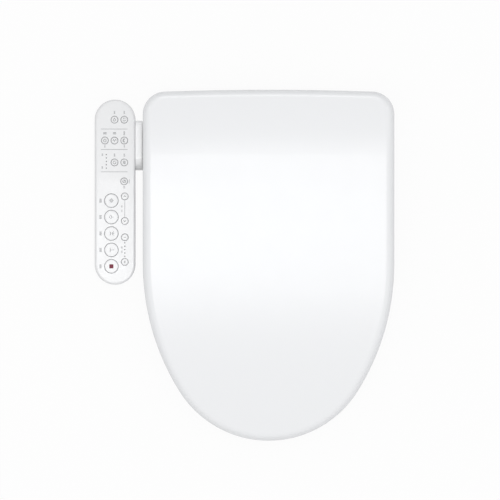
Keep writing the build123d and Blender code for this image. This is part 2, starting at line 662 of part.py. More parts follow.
# Two wash nozzles, each with a rack, a screwed-on tip and a pinion
for side, name in ((-1, "rear"), (1, "front")):
    x = side * NOZZLE_X
    tooth_pitch = pi * MODULE
    with BuildPart(nozzle_plane(x)) as nozzle:
        with Locations((0, 0, TIP_L)):
            Cylinder(NOZZLE_R, NOZZLE_L - TIP_L, align=RISE)
        with Locations((0, 0, SPIGOT_AT)):
            Cylinder(SPIGOT_R, TIP_L - SPIGOT_AT, align=RISE)
        with BuildSketch(drive_plane(x)):
            with Locations((side * sum(RACK_BAR) / 2, -(TIP_L + NOZZLE_L) / 2)):
                Rectangle(RACK_BAR[1] - RACK_BAR[0], NOZZLE_L - TIP_L)
            first = -int((PINION_AT - TIP_L) / tooth_pitch)
            last = int((NOZZLE_L - PINION_AT) / tooth_pitch)
            for k in range(first + 1, last):
                with Locations((0, -PINION_AT - k * tooth_pitch)):
                    Polygon(*tooth(RACK_TOOTH, side), align=None)
        extrude(amount=RACK_HALF_H, both=True)
        Cylinder(WATER_BORE_R, 5 * NOZZLE_L, mode=Mode.SUBTRACT)
    save(nozzle, f"{name}_nozzle")

    with BuildPart(nozzle_plane(x)) as nozzle_tip:
        Cylinder(NOZZLE_R, TIP_L, align=RISE)
        fillet(nozzle_tip.edges().sort_by(Axis.Y)[:1], NOZZLE_R - 1.5)
        with Locations((0, 0, SPIGOT_AT)):
            Cylinder(SPIGOT_R + RUN, TIP_L, align=RISE, mode=Mode.SUBTRACT)
        holes = [(0, 5.6)] if side < 0 else [(-2, 5), (2, 5), (0, 7)]
        with Locations(*[Location((u, -NOZZLE_R, w), (90, 0, 0)) for u, w in holes]):
            Cylinder(JET_R, NOZZLE_R + 0.5, mode=Mode.SUBTRACT)
    save(nozzle_tip, f"{name}_nozzle_tip")

    with BuildPart() as pinion:
        with BuildSketch(drive_plane(x)):
            with Locations((side * PINION_X, -PINION_AT)):
                Circle(PINION_ROOT_R)
                for k in range(PINION_TEETH):
                    with Locations(Location((0, 0), (k + 0.5) * 360 / PINION_TEETH)):
                        Polygon(*tooth(PINION_TOOTH), align=None)
        extrude(amount=RACK_HALF_H, both=True)
        with BuildSketch(drive_plane(x).offset(DRIVE_SHAFT[0])):
            with Locations((side * PINION_X, -PINION_AT)):
                Circle(DRIVE_SHAFT_R)
        extrude(amount=DRIVE_SHAFT[1])
    save(pinion, f"{name}_pinion")

with BuildPart() as nozzle_housing:
    with BuildPart(nozzle_plane(0)) as frame:
        with Locations((0, 9.5, 34)):
            Box(88, 3, 52)
        with Locations((0, 2.5, 34)):
            Box(39, 11, 52)
        for side in (-1, 1):
            with Locations((side * 42.5, 2.5, 24)):
                Box(3, 17, 32)
            with Locations((side * 32.25, -5, 24)):
                Box(23.5, 2, 32)
            with Locations((side * NOZZLE_X, 0, 34)):
                Cylinder(NOZZLE_R + 0.3, 60, mode=Mode.SUBTRACT)
            with Locations((side * 20.75, 0, 34)):
                Box(7.5, 7, 60, mode=Mode.SUBTRACT)
            with Locations(Location((side * (NOZZLE_X + PINION_X), 0, PINION_AT), (90, 0, 0))):
                Cylinder(DRIVE_SHAFT_R + RUN, 20, mode=Mode.SUBTRACT)
    with Locations(*[(x, -50, FLOOR_Z) for x in (-32, 32)]):
        Box(8, 6, 9.9, align=RISE)
save(nozzle_housing, "nozzle_housing")

with BuildPart() as nozzle_motors:
    for side in (-1, 1):
        with BuildSketch(drive_plane(0).offset(-6)):
            with Locations((side * (NOZZLE_X + PINION_X), -PINION_AT)):
                Circle(MOTOR_R)
        extrude(amount=-MOTOR_L)
        with BuildSketch(drive_plane(0).offset(-6)):
            with Locations((side * (NOZZLE_X + PINION_X), -PINION_AT)):
                Circle(DRIVE_SHAFT_R + RUN)
        extrude(amount=-7, mode=Mode.SUBTRACT)
    fillet(nozzle_motors.edges().filter_by(GeomType.CIRCLE).group_by(Axis.Z)[-1], 1.5)
save(nozzle_motors, "nozzle_motors")


def flap(x, half_w, length):
    """Hinged flap hanging from two end pins."""
    with BuildPart() as leaf:
        with Locations((x, FLAP_HINGE_Y, FLAP_HINGE_Z - length / 2)):
            Box(2 * half_w, FLAP_T, length)
        along_x(FLAP_KNUCKLE_R, x - half_w, x + half_w, FLAP_HINGE_Y, FLAP_HINGE_Z)
        along_x(FLAP_PIN_R, x - half_w - 5, x + half_w + 5, FLAP_HINGE_Y, FLAP_HINGE_Z)
    return leaf.part


with BuildPart() as nozzle_gate:
    add(flap(0, GATE_HALF_W, FLAP_L))
    for side in (-1, 1):
        with Locations((side * GATE_NOTCH_X, FLAP_HINGE_Y, FLAP_HINGE_Z - FLAP_L)):
            Box(*GATE_NOTCH, mode=Mode.SUBTRACT)
save(nozzle_gate, "nozzle_gate")

with BuildPart() as dryer_flap:
    add(flap(DRYER_X, DRYER_HALF_W, FLAP_L - 2))
save(dryer_flap, "dryer_flap")

# Warm air blower
with BuildPart() as blower_housing:
    for inset, mode in ((0, Mode.ADD), (BLOWER_WALL, Mode.SUBTRACT)):
        z0, z1 = BLOWER_Z[0] + inset, BLOWER_Z[1] - inset
        with Locations((*BLOWER_XY, z0)):
            Cylinder(BLOWER_R - inset, z1 - z0, align=RISE, mode=mode)
        mouth = -74.5 if inset == 0 else -75
        with BuildSketch(Plane.YZ.offset(DRYER_X - DRYER_HALF_W + inset)):
            Polygon(
                (-40, z0),
                (-40, z1),
                (-57 + inset / 2, z1),
                (-74.5 + inset, 32 - inset / 2),
                (mouth, 28 - inset),
                (mouth, 6 + inset),
                (-68 + inset / 2, 6 + inset),
                (-58 + inset / 2, z0),
                align=None,
            )
        extrude(amount=2 * (DRYER_HALF_W - inset), mode=mode)
    with Locations((*BLOWER_XY, BLOWER_Z[1])):
        Cylinder(BLOWER_VENTS[2], 5 * BLOWER_WALL, mode=Mode.SUBTRACT)
        with PolarLocations(*BLOWER_VENTS[:2]):
            Cylinder(BLOWER_VENTS[2], 5 * BLOWER_WALL, mode=Mode.SUBTRACT)
save(blower_housing, "blower_housing")

with BuildPart() as blower_impeller:
    with Locations((*BLOWER_XY, IMPELLER_Z)):
        Cylinder(IMPELLER_R, BLOWER_WALL, align=RISE)
        Cylinder(IMPELLER_HUB_R, IMPELLER_H, align=RISE)
        Cylinder(BLOWER_SHAFT_R, BLOWER_SHAFT_L, align=RISE)
        with PolarLocations(*IMPELLER_BLADES):
            Box(*IMPELLER_BLADE, IMPELLER_H, align=RISE)
save(blower_impeller, "blower_impeller")

with BuildPart() as blower_motor:
    with Locations((*BLOWER_XY, BLOWER_Z[1])):
        Cylinder(BLOWER_MOTOR_R, BLOWER_MOTOR_L, align=RISE)
        Cylinder(BLOWER_SHAFT_R + RUN, BLOWER_MOTOR_L + 10, mode=Mode.SUBTRACT)
    fillet(blower_motor.edges().group_by(Axis.Z)[-1], 3)
save(blower_motor, "blower_motor")

with BuildPart() as air_heater:
    with Locations((DRYER_X, -61, 34)):
        Box(2 * DRYER_HALF_W - 4, 3, 14)
        with GridLocations(4.5, 0, 8, 1):
            Box(3, 4, 10, mode=Mode.SUBTRACT)
save(air_heater, "air_heater")

# Water side
with BuildPart() as water_inlet:
    along_x(INLET_NECK_R, INLET_NECK_X0, UNIT_HALF_W, INLET_Y, INLET_Z)
    with BuildSketch(Plane.YZ.offset(UNIT_HALF_W)):
        with Locations((INLET_Y, INLET_Z)):
            RegularPolygon(INLET_NUT_R, 6)
    extrude(amount=INLET_NUT_T)
    along_x(INLET_R, UNIT_HALF_W + INLET_NUT_T, INLET_END_X, INLET_Y, INLET_Z)
    chamfer(water_inlet.edges().filter_by(GeomType.CIRCLE).sort_by(Axis.X)[-1:], INLET_EDGE)
    along_x(INLET_BORE_R, INLET_NECK_X0 - 8, INLET_END_X + 16, INLET_Y, INLET_Z, Mode.SUBTRACT)
save(water_inlet, "water_inlet")

with BuildPart() as solenoid_valve:
    with Locations((122, INLET_Y, FLOOR_Z)):
        Box(32, 24, 22, align=RISE)
    fillet(solenoid_valve.edges().filter_by(Axis.Z), 3)
    with Locations((118, INLET_Y, FLOOR_Z + 22)):
        Cylinder(9, 22, align=RISE)
    fillet(solenoid_valve.edges().group_by(Axis.Z)[-1], 2)
save(solenoid_valve, "solenoid_valve")

with BuildPart() as water_heater:
    with Locations((100, -55, 34)):
        Box(80, 36, 38, align=RISE)
    fillet(water_heater.edges(), 8)
    with Locations(*[(x, -55, FLOOR_Z) for x in (72, 130)]):
        Cylinder(5, 36, align=RISE)
save(water_heater, "water_heater")

with BuildPart() as water_hoses:
    for route, bend, radius in (
        (((112, -37, 15), (112, -55, 15), (112, -55, 34)), 8, 3.5),
        (((60, -50, 46), (52, -50, 46), (52, -50, 20), (44, -50, 20)), 3.9, 3),
    ):
        with BuildLine() as path:
            FilletPolyline(*route, radius=bend)
        with BuildSketch(Plane(path.line @ 0, z_dir=path.line % 0)):
            Circle(radius)
        sweep(path=path.line)
save(water_hoses, "water_hoses")

with BuildPart() as control_board:
    with Locations((0, -32, BOARD_Z)):
        Box(88, 58, BOARD_T, align=RISE)
    for x, y, w, d, h in BOARD_PARTS:
        with Locations((x, y, BOARD_Z)):
            Box(w, d, h, align=(Align.CENTER, Align.CENTER, Align.MAX))
    with Locations((-30, -46, BOARD_Z), (-16, -46, BOARD_Z)):
        Cylinder(5, 10, align=(Align.CENTER, Align.CENTER, Align.MAX))
save(control_board, "control_board")

with BuildPart() as power_gland:
    along_x(GLAND_R, 141, UNIT_HALF_W, GLAND_Y, GLAND_Z)
    along_x(GLAND_R + 2, UNIT_HALF_W, UNIT_HALF_W + 4, GLAND_Y, GLAND_Z)
    along_x(GLAND_R - 0.8, UNIT_HALF_W + 4, UNIT_HALF_W + 14, GLAND_Y, GLAND_Z)
    fillet(power_gland.edges().filter_by(GeomType.CIRCLE).sort_by(Axis.X)[-1:], 1.2)
    along_x(GLAND_BORE_R, 130, 180, GLAND_Y, GLAND_Z, Mode.SUBTRACT)
save(power_gland, "power_gland")

with BuildPart() as release_button:
    with Locations((UNIT_HALF_W + BUTTON_PROUD, BUTTON_Y, BUTTON_Z)):
        Box(7, BUTTON_W, BUTTON_H, align=(Align.MAX, Align.CENTER, Align.CENTER))
    fillet(release_button.edges().group_by(Axis.X)[-1], 1)
    with Locations((UNIT_HALF_W - CASE_WALL, BUTTON_Y, BUTTON_Z)):
        Box(3, BUTTON_W + 3, BUTTON_H + 3, align=(Align.MAX, Align.CENTER, Align.CENTER))
save(release_button, "release_button")


# Control panel
def panel_slab(inset, z0, z1):
    """Upright slab with the panel's round-ended outline, moved in by inset."""
    with BuildPart() as slab:
        with BuildSketch(Plane.XY.offset(z0)):
            with Locations((PANEL_X, PANEL_Y)):
                SlotOverall(PANEL_L - 2 * inset, PANEL_W - 2 * inset, rotation=90)
        extrude(amount=z1 - z0)
    return slab.part


with BuildPart() as panel_case:
    add(panel_slab(0, PANEL_BOTTOM_Z, FASCIA_Z[0]))
    fillet(panel_case.edges().group_by(Axis.Z)[0], 8)
    # stepped arm: level with the fascia beside it, low where the seat's hinge arm passes over it
    side_x = PANEL_X + PANEL_W / 2
    for end_x, rear_y, top_z, front_r in ARM_STEPS:
        with BuildSketch(Plane.YZ.offset(end_x)) as arm:
            with Locations(((ARM_FRONT_Y + rear_y) / 2, (ARM_BOTTOM_Z + top_z) / 2)):
                Rectangle(rear_y - ARM_FRONT_Y, top_z - ARM_BOTTOM_Z)
            fillet(arm.vertices().group_by(Axis.Y)[-1].sort_by(Axis.X)[0], front_r)
            fillet(arm.vertices().sort_by(Axis.X)[-2:].sort_by(Axis.Y)[-1], ARM_REAR_R)
        start_x = side_x + SEAT_GAP if top_z > FASCIA_Z[0] else side_x - PANEL_WALL
        extrude(amount=start_x - end_x)
    add(panel_slab(PANEL_WALL, PANEL_BOTTOM_Z + 3, FASCIA_Z[0]), mode=Mode.SUBTRACT)
    along_x(CABLE_R, PANEL_X, -UNIT_HALF_W, CABLE_Y, CABLE_Z, Mode.SUBTRACT)
    for dx in (-17, 17):
        for dy in (-96, 96):
            with Locations((PANEL_X + dx, PANEL_Y + dy, PANEL_BOTTOM_Z + 2)):
                Cylinder(3.5, PANEL_BOARD_Z - PANEL_BOTTOM_Z - 2, align=RISE)
save(panel_case, "panel_case")

KEYS = {name: (spot, BIG_KEY_R) for name, spot in BIG_KEYS.items()}
KEYS.update({name: (spot, SMALL_KEY_R) for name, spot in SMALL_KEYS.items()})
LIGHTS = [(x, y - i * LIGHT_PITCH) for x, y in (LEVEL_LIGHTS, PRESSURE_LIGHTS) for i in range(5)]

with BuildPart() as panel_fascia:
    add(panel_slab(0, *FASCIA_Z))
    fillet(panel_fascia.edges().group_by(Axis.Z)[-1], FASCIA_RIM_R)
    add(panel_slab(PANEL_WALL, FASCIA_Z[0], FASCIA_PLATE_Z), mode=Mode.SUBTRACT)
    for spot, radius in KEYS.values():
        with Locations((*spot, FASCIA_Z[1])):
            Cylinder(radius + KEY_GAP, 20, mode=Mode.SUBTRACT)
    with Locations(*[(x, y, FASCIA_Z[1]) for x, y in LIGHTS]):
        Cylinder(LIGHT_R, 20, mode=Mode.SUBTRACT)
save(panel_fascia, "panel_fascia")

switch_top = FASCIA_PLATE_Z - 4.1
with BuildPart() as panel_board:
    add(panel_slab(PANEL_WALL + 3, PANEL_BOARD_Z, PANEL_BOARD_Z + BOARD_T))
    for spot, radius in KEYS.values():
        with Locations((*spot, PANEL_BOARD_Z + BOARD_T)):
            Box(6, 6, 3.4, align=RISE)
            Cylinder(1.6, switch_top - PANEL_BOARD_Z - BOARD_T, align=RISE)
save(panel_board, "panel_board")

with BuildPart() as indicator_lights:
    with Locations(*[(x, y, PANEL_BOARD_Z + BOARD_T) for x, y in LIGHTS]):
        Cylinder(LIGHT_R, FASCIA_Z[1] + 0.1 - PANEL_BOARD_Z - BOARD_T, align=RISE)
save(indicator_lights, "indicator_lights")

for name, (spot, radius) in KEYS.items():
    with BuildPart() as key:
        with Locations((*spot, FASCIA_PLATE_Z)):
            Cylinder(radius, FASCIA_Z[1] + KEY_PROUD - FASCIA_PLATE_Z, align=RISE)
        fillet(key.edges().group_by(Axis.Z)[-1], 0.6)
        with Locations((*spot, FASCIA_PLATE_Z - 1.2)):
            Cylinder(radius + 1, 1.2, align=RISE)
        with Locations((*spot, switch_top + KEY_TRAVEL + 0.1)):
            Cylinder(2.5, 3.2 - KEY_TRAVEL - 0.3, align=RISE)
    save(key, name)
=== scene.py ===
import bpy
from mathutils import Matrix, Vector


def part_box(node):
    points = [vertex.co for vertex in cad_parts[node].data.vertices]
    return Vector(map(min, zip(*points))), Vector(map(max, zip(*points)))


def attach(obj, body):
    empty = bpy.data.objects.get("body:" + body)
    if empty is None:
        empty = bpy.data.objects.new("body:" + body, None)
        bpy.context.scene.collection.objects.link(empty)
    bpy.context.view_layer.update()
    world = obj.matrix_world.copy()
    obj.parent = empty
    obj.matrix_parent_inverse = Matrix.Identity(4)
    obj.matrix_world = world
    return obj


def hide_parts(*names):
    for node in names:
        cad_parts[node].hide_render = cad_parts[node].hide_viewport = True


bl_info = {
    "name": "Electric Bidet Seat Finish",
    "version": (1, 0, 0),
    "blender": (4, 5, 0),
    "location": "View3D > Sidebar > Bidet Seat",
    "description": "Dresses the packed bidet seat with finishes, panel print, key signs and fasteners",
    "category": "Object",
}

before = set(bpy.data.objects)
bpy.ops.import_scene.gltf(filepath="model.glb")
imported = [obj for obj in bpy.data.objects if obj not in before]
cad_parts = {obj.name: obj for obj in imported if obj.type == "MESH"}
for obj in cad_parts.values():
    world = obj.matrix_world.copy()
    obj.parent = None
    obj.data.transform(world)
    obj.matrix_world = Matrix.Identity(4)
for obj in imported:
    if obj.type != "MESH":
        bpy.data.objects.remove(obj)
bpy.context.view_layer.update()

import math

import bmesh
import bpy
from bpy.props import FloatProperty, FloatVectorProperty, PointerProperty
from mathutils import Vector

MM = 0.001
FASCIA_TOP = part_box("panel_fascia")[1].z
BIG_KEYS = ("dry_key", "massage_key", "front_wash_key", "rear_wash_key", "stop_key")
SMALL_KEYS = (
    "water_heat_key",
    "seat_heat_key",
    "power_key",
    "pulse_key",
    "eco_key",
    "nozzle_clean_key",
    "air_heat_key",
    "child_wash_key",
    "nozzle_back_key",
    "nozzle_forward_key",
    "pressure_down_key",
    "pressure_up_key",
)


def key_body(key):
    """Name of the CAD body that carries a key."""
    return key.replace("_key", "_button")


def key_spot(key):
    """Centre of a key's upper face."""
    low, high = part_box(key)
    return Vector(((low.x + high.x) / 2, (low.y + high.y) / 2, high.z))


# Settings a user may change


class BidetFinish(bpy.types.PropertyGroup):
    """Colours of the plastics, print and small metal parts."""

    shell: FloatVectorProperty(
        name="Shell white",
        description="Gloss white of lid, seat and cases",
        subtype="COLOR",
        size=4,
        min=0,
        max=1,
        default=(0.86, 0.868, 0.88, 1),
    )
    panel: FloatVectorProperty(
        name="Panel white",
        description="White of the control panel and its keys",
        subtype="COLOR",
        size=4,
        min=0,
        max=1,
        default=(0.8, 0.803, 0.81, 1),
    )
    ring_grey: FloatVectorProperty(
        name="Ring grey",
        description="Ink of the rings and dividing lines",
        subtype="COLOR",
        size=4,
        min=0,
        max=1,
        default=(0.27, 0.275, 0.285, 1),
    )
    sign_grey: FloatVectorProperty(
        name="Sign grey",
        description="Ink of the key signs and caption bars",
        subtype="COLOR",
        size=4,
        min=0,
        max=1,
        default=(0.11, 0.115, 0.125, 1),
    )
    stop_red: FloatVectorProperty(
        name="Stop red",
        description="Ink of the square on the stop key",
        subtype="COLOR",
        size=4,
        min=0,
        max=1,
        default=(0.19, 0.012, 0.035, 1),
    )


class BidetPrint(bpy.types.PropertyGroup):
    """Sizes of what is printed on the panel."""

    ring_width: FloatProperty(
        name="Ring width",
        description="Width of the printed ring round a key",
        subtype="DISTANCE",
        unit="LENGTH",
        default=0.65 * MM,
    )
    rule_width: FloatProperty(
        name="Rule width",
        description="Width of the printed dividing lines",
        subtype="DISTANCE",
        unit="LENGTH",
        default=0.6 * MM,
    )
    sign_width: FloatProperty(
        name="Sign width",
        description="Stroke width of the signs on the keys",
        subtype="DISTANCE",
        unit="LENGTH",
        default=0.6 * MM,
    )
    ink_height: FloatProperty(
        name="Ink height",
        description="How far the ink stands above the panel",
        subtype="DISTANCE",
        unit="LENGTH",
        default=0.06 * MM,
    )


class BidetStage(bpy.types.PropertyGroup):
    """Camera, lamps and floor."""

    camera_height: FloatProperty(
        name="Camera height",
        description="Height of the camera above the underside of the seat",
        subtype="DISTANCE",
        unit="LENGTH",
        default=16.0,
    )
    view_width: FloatProperty(
        name="View width",
        description="Width of the picture at the lid",
        subtype="DISTANCE",
        unit="LENGTH",
        default=0.7515,
    )
    softbox_power: FloatProperty(
        name="Softbox power",
        description="Power of the overhead softboxes for each square metre",
        unit="POWER",
        default=11.0,
    )
    fill_power: FloatProperty(
        name="Fill power",
        description="Power of the high lamp that lights the edges and gaps",
        unit="POWER",
        default=75.0,
    )
    sky: FloatProperty(
        name="Room light",
        description="Strength of the even light from the room",
        min=0,
        default=0.725,
    )


# Mesh helpers


def new_piece(name, bm, material, body):
    """Turns a bmesh into a piece that rides on a body."""
    bmesh.ops.recalc_face_normals(bm, faces=bm.faces)
    mesh = bpy.data.meshes.new(name)
    bm.to_mesh(mesh)
    bm.free()
    mesh.materials.append(material)
    piece = bpy.data.objects.new(name, mesh)
    bpy.context.scene.collection.objects.link(piece)
    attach(piece, body)
    return piece


def arc(x, y, radius, start, end, steps=24):
    """Points of an arc in degrees."""
    angles = [math.radians(start + (end - start) * i / steps) for i in range(steps + 1)]
    return [(x + radius * math.cos(a), y + radius * math.sin(a)) for a in angles]


def ribbon(bm, points, width, origin, height, closed=False):
    """Flat inked stroke along points given in millimetres round origin."""
    spots = [Vector((p[0], p[1])) * MM for p in points]
    count = len(spots)
    rows = []
    for i, spot in enumerate(spots):
        before = spots[i - 1] if closed or i else spot
        after = spots[(i + 1) % count] if closed or i < count - 1 else spot
        into = (spot - before).normalized() if (spot - before).length else None
        out = (after - spot).normalized() if (after - spot).length else None
        into, out = into or out, out or into
        along = (into + out).normalized()
        side = Vector((-along.y, along.x))
        # Mitred corners reach further out, at most to twice the half width.
        reach = width / 2 / max(0.5, abs(side.dot(Vector((-into.y, into.x)))))
        rows.append([spot + side * reach, spot - side * reach])
    base, top = origin.z, origin.z + height
    verts = [
        [bm.verts.new((origin.x + p.x, origin.y + p.y, z)) for p in row for z in (base, top)]
        for row in rows
    ]
    last = count if closed else count - 1
    for i in range(last):
        a, b = verts[i], verts[(i + 1) % count]
        for j, k in ((1, 3), (3, 2), (2, 0), (0, 1)):
            bm.faces.new((a[j], a[k], b[k], b[j]))
    if not closed:
        for end in (verts[0], verts[-1]):
            bm.faces.new((end[0], end[1], end[3], end[2]))


def blot(bm, points, origin, height):
    """Filled inked outline in millimetres round origin."""
    ring = [(origin.x + x * MM, origin.y + y * MM) for x, y in points]
    low = [bm.verts.new((x, y, origin.z)) for x, y in ring]
    high = [bm.verts.new((x, y, origin.z + height)) for x, y in ring]
    bm.faces.new(low)
    bm.faces.new(high)
    for i in range(len(ring)):
        j = (i + 1) % len(ring)
        bm.faces.new((low[i], low[j], high[j], high[i]))


# Materials

GRAIN_DEPTH = 0.2 * MM
# The panel case is painted whiter than the shell white. This is painted light that lifts its arm and edges
# out of the lid's shade.
PANEL_CASE_WHITE_PAINTED_LIGHT = (0.95, 0.953, 0.957, 1)


def make_skin_group():
    """Shader group for moulded plastic: faint mottle, uneven gloss and a fine moulded grain."""
    group = bpy.data.node_groups.new("Moulded skin", "ShaderNodeTree")
    face = group.interface
    for name, kind, value in (
        ("Colour", "NodeSocketColor", (0.8, 0.8, 0.8, 1)),
        ("Mottle Scale", "NodeSocketFloat", 30.0),
        ("Mottle Depth", "NodeSocketFloat", 0.03),
        ("Grain Scale", "NodeSocketFloat", 900.0),
        ("Gloss Low", "NodeSocketFloat", 0.12),
        ("Gloss High", "NodeSocketFloat", 0.2),
    ):
        face.new_socket(name, in_out="INPUT", socket_type=kind).default_value = value
    for name, kind in (
        ("Colour", "NodeSocketColor"),
        ("Roughness", "NodeSocketFloat"),
        ("Height", "NodeSocketFloat"),
    ):
        face.new_socket(name, in_out="OUTPUT", socket_type=kind)
    nodes, links = group.nodes, group.links
    enter, leave = nodes.new("NodeGroupInput"), nodes.new("NodeGroupOutput")
    place = nodes.new("ShaderNodeTexCoord")
    mottle = nodes.new("ShaderNodeTexNoise")
    mottle.inputs["Detail"].default_value = 3
    links.new(place.outputs["Object"], mottle.inputs["Vector"])
    links.new(enter.outputs["Mottle Scale"], mottle.inputs["Scale"])
    grain = nodes.new("ShaderNodeTexNoise")
    grain.inputs["Detail"].default_value = 2
    links.new(place.outputs["Object"], grain.inputs["Vector"])
    links.new(enter.outputs["Grain Scale"], grain.inputs["Scale"])
    shade = nodes.new("ShaderNodeMath")
    shade.operation = "MULTIPLY"
    links.new(mottle.outputs["Fac"], shade.inputs[0])
    links.new(enter.outputs["Mottle Depth"], shade.inputs[1])
    mix = nodes.new("ShaderNodeMix")
    mix.data_type = "RGBA"
    mix.blend_type = "MULTIPLY"
    darker = nodes.new("ShaderNodeMix")
    darker.data_type = "RGBA"
    links.new(shade.outputs[0], darker.inputs["Factor"])
    darker.inputs["A"].default_value = (1, 1, 1, 1)
    darker.inputs["B"].default_value = (0, 0, 0, 1)
    mix.inputs["Factor"].default_value = 1
    links.new(enter.outputs["Colour"], mix.inputs["A"])
    links.new(darker.outputs["Result"], mix.inputs["B"])
    links.new(mix.outputs["Result"], leave.inputs["Colour"])
    gloss = nodes.new("ShaderNodeMapRange")
    links.new(mottle.outputs["Fac"], gloss.inputs["Value"])
    gloss.inputs["From Min"].default_value = 0.3
    gloss.inputs["From Max"].default_value = 0.7
    links.new(enter.outputs["Gloss Low"], gloss.inputs["To Min"])
    links.new(enter.outputs["Gloss High"], gloss.inputs["To Max"])
    links.new(gloss.outputs["Result"], leave.inputs["Roughness"])
    links.new(grain.outputs["Fac"], leave.inputs["Height"])
    return group


def moulded(name, colour, gloss, grain, bump, mottle, metallic=0.0, coat=0.0):
    """Material of one moulded, rubber or metal part, built on the shared skin group."""
    material = bpy.data.materials.new(name)
    material.use_nodes = True
    nodes, links = material.node_tree.nodes, material.node_tree.links
    shader = nodes["Principled BSDF"]
    skin = nodes.new("ShaderNodeGroup")
    skin.node_tree = bpy.data.node_groups.get("Moulded skin") or make_skin_group()
    skin.inputs["Colour"].default_value = tuple(colour)
    skin.inputs["Mottle Depth"].default_value = mottle
    skin.inputs["Grain Scale"].default_value = grain
    skin.inputs["Gloss Low"].default_value = gloss[0]
    skin.inputs["Gloss High"].default_value = gloss[1]
    links.new(skin.outputs["Colour"], shader.inputs["Base Color"])
    links.new(skin.outputs["Roughness"], shader.inputs["Roughness"])
    if bump:
        relief = nodes.new("ShaderNodeBump")
        relief.inputs["Strength"].default_value = bump
        relief.inputs["Distance"].default_value = GRAIN_DEPTH
        links.new(skin.outputs["Height"], relief.inputs["Height"])
        links.new(relief.outputs["Normal"], shader.inputs["Normal"])
    shader.inputs["Metallic"].default_value = metallic
    shader.inputs["Coat Weight"].default_value = coat
    return material


def build_materials(finish):
    """All finishes of the seat: name, colour, gloss range, grain scale, bump and mottle of each."""
    shell, panel = finish.shell, finish.panel
    return {
        "lid": moulded("gloss_white_lid", shell, (0.18, 0.21), 500, 0.006, 0.012),
        "seat": moulded("gloss_white_seat", shell, (0.14, 0.2), 600, 0.02, 0.02, coat=0.2),
        "case": moulded("satin_white_case", shell, (0.27, 0.31), 900, 0.01, 0.012),
        # The panel case's whiter colour is painted light against the shade of the lid.
        "panel_case": moulded("gloss_white_panel_case_painted_light", PANEL_CASE_WHITE_PAINTED_LIGHT, (0.16, 0.19), 700, 0.01, 0.012),
        "panel": moulded("panel_white", panel, (0.16, 0.22), 700, 0.015, 0.015, coat=0.2),
        "key": moulded("key_white", panel, (0.16, 0.22), 700, 0.015, 0.015, coat=0.2),
        "rubber": moulded("rubber_grey", (0.3, 0.31, 0.32, 1), (0.6, 0.75), 2500, 0.25, 0.12),
        "plate": moulded("plate_grey", (0.5, 0.51, 0.52, 1), (0.38, 0.5), 1800, 0.15, 0.06),
        "inner": moulded("inner_plastic", (0.62, 0.62, 0.58, 1), (0.4, 0.5), 1800, 0.12, 0.06),
        "nozzle": moulded("nozzle_white", (0.78, 0.79, 0.8, 1), (0.16, 0.24), 900, 0.02, 0.03),
        "tip": moulded("nozzle_tip_grey", (0.32, 0.37, 0.42, 1), (0.2, 0.28), 900, 0.02, 0.05),
        "gear": moulded("acetal", (0.74, 0.72, 0.64, 1), (0.3, 0.4), 1200, 0.05, 0.05),
        "steel": moulded("zinc_steel", (0.55, 0.56, 0.58, 1), (0.25, 0.4), 1500, 0.06, 0.1, 1.0),
        "black": moulded("damper_black", (0.02, 0.02, 0.022, 1), (0.4, 0.55), 1800, 0.12, 0.1),
        "board": moulded("board_green", (0.02, 0.11, 0.05, 1), (0.3, 0.4), 1200, 0.05, 0.2),
        "foil": moulded("heater_foil", (0.7, 0.7, 0.71, 1), (0.3, 0.45), 400, 0.3, 0.1, 1.0),
        "plated": moulded("plated_brass", (0.66, 0.65, 0.63, 1), (0.14, 0.24), 1500, 0.04, 0.06, 1.0),
        "hose": moulded("silicone_hose", (0.7, 0.71, 0.68, 1), (0.35, 0.45), 900, 0.05, 0.05),
        "light": moulded("light_pipe", (0.12, 0.125, 0.13, 1), (0.25, 0.3), 900, 0.0, 0.05),
        "ring_ink": moulded("ring_grey", finish.ring_grey, (0.45, 0.55), 3000, 0.0, 0.08),
        "sign_ink": moulded("sign_grey", finish.sign_grey, (0.45, 0.55), 3000, 0.0, 0.08),
        "red": moulded("stop_red", finish.stop_red, (0.4, 0.5), 3000, 0.0, 0.06),
    }


NODE_FINISH = {
    "lid": ("lid_shell",),
    "seat": ("seat_top", "seat_bottom"),
    "case": ("base_case", "upper_case", "nozzle_gate", "dryer_flap", "release_button"),
    "panel_case": ("panel_case",),
    "panel": ("panel_fascia",),
    "key": BIG_KEYS + SMALL_KEYS,
    "rubber": ("base_feet", "seat_bumpers", "lid_bumpers", "power_gland"),
    "plate": ("mounting_plate", "plate_adjusters"),
    "inner": ("nozzle_housing", "blower_housing", "solenoid_valve", "water_heater"),
    "nozzle": ("rear_nozzle", "front_nozzle"),
    "tip": ("rear_nozzle_tip", "front_nozzle_tip"),
    "gear": ("rear_pinion", "front_pinion", "blower_impeller"),
    "steel": ("nozzle_motors", "blower_motor", "seat_damper_shaft", "lid_damper_shaft"),
    "black": ("seat_damper", "lid_damper"),
    "board": ("control_board", "panel_board"),
    "foil": ("seat_heater", "air_heater"),
    "plated": ("water_inlet",),
    "hose": ("water_hoses",),
    "light": ("indicator_lights",),
}
MATERIALS = {}


class BIDET_OT_finishes(bpy.types.Operator):
    """Give every CAD piece its finish."""

    bl_idname = "bidet.finishes"
    bl_label = "Finishes"

    def execute(self, context):
        MATERIALS.update(build_materials(context.scene.bidet_finish))
        for finish, names in NODE_FINISH.items():
            for name in names:
                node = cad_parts[name]
                node.data.materials.clear()
                node.data.materials.append(MATERIALS[finish])
        return {"FINISHED"}


# Panel print

# Measures in millimetres: the rules across the panel, and how far they reach left and right of its middle
RULE_LEVELS = (-1.5, -32.3, -66.0)
RULE_REACH = (21.4, 18.9)
LINK_GAP = 6.0
KEY_FLANGE = 1.0
RING_GAP = 0.3
CAPTION_WIDTH = 0.5
CAPTION_PITCH = 1.2
# Captions: shift from the key, length and number of bars
BIG_CAPTION = (-16.4, 3.4, 5)
CHILD_CAPTION = (7.7, 1.4, 5)
PAIR_CAPTION = (-4.4, 1.7, 3)
SHORT_BARS = 3
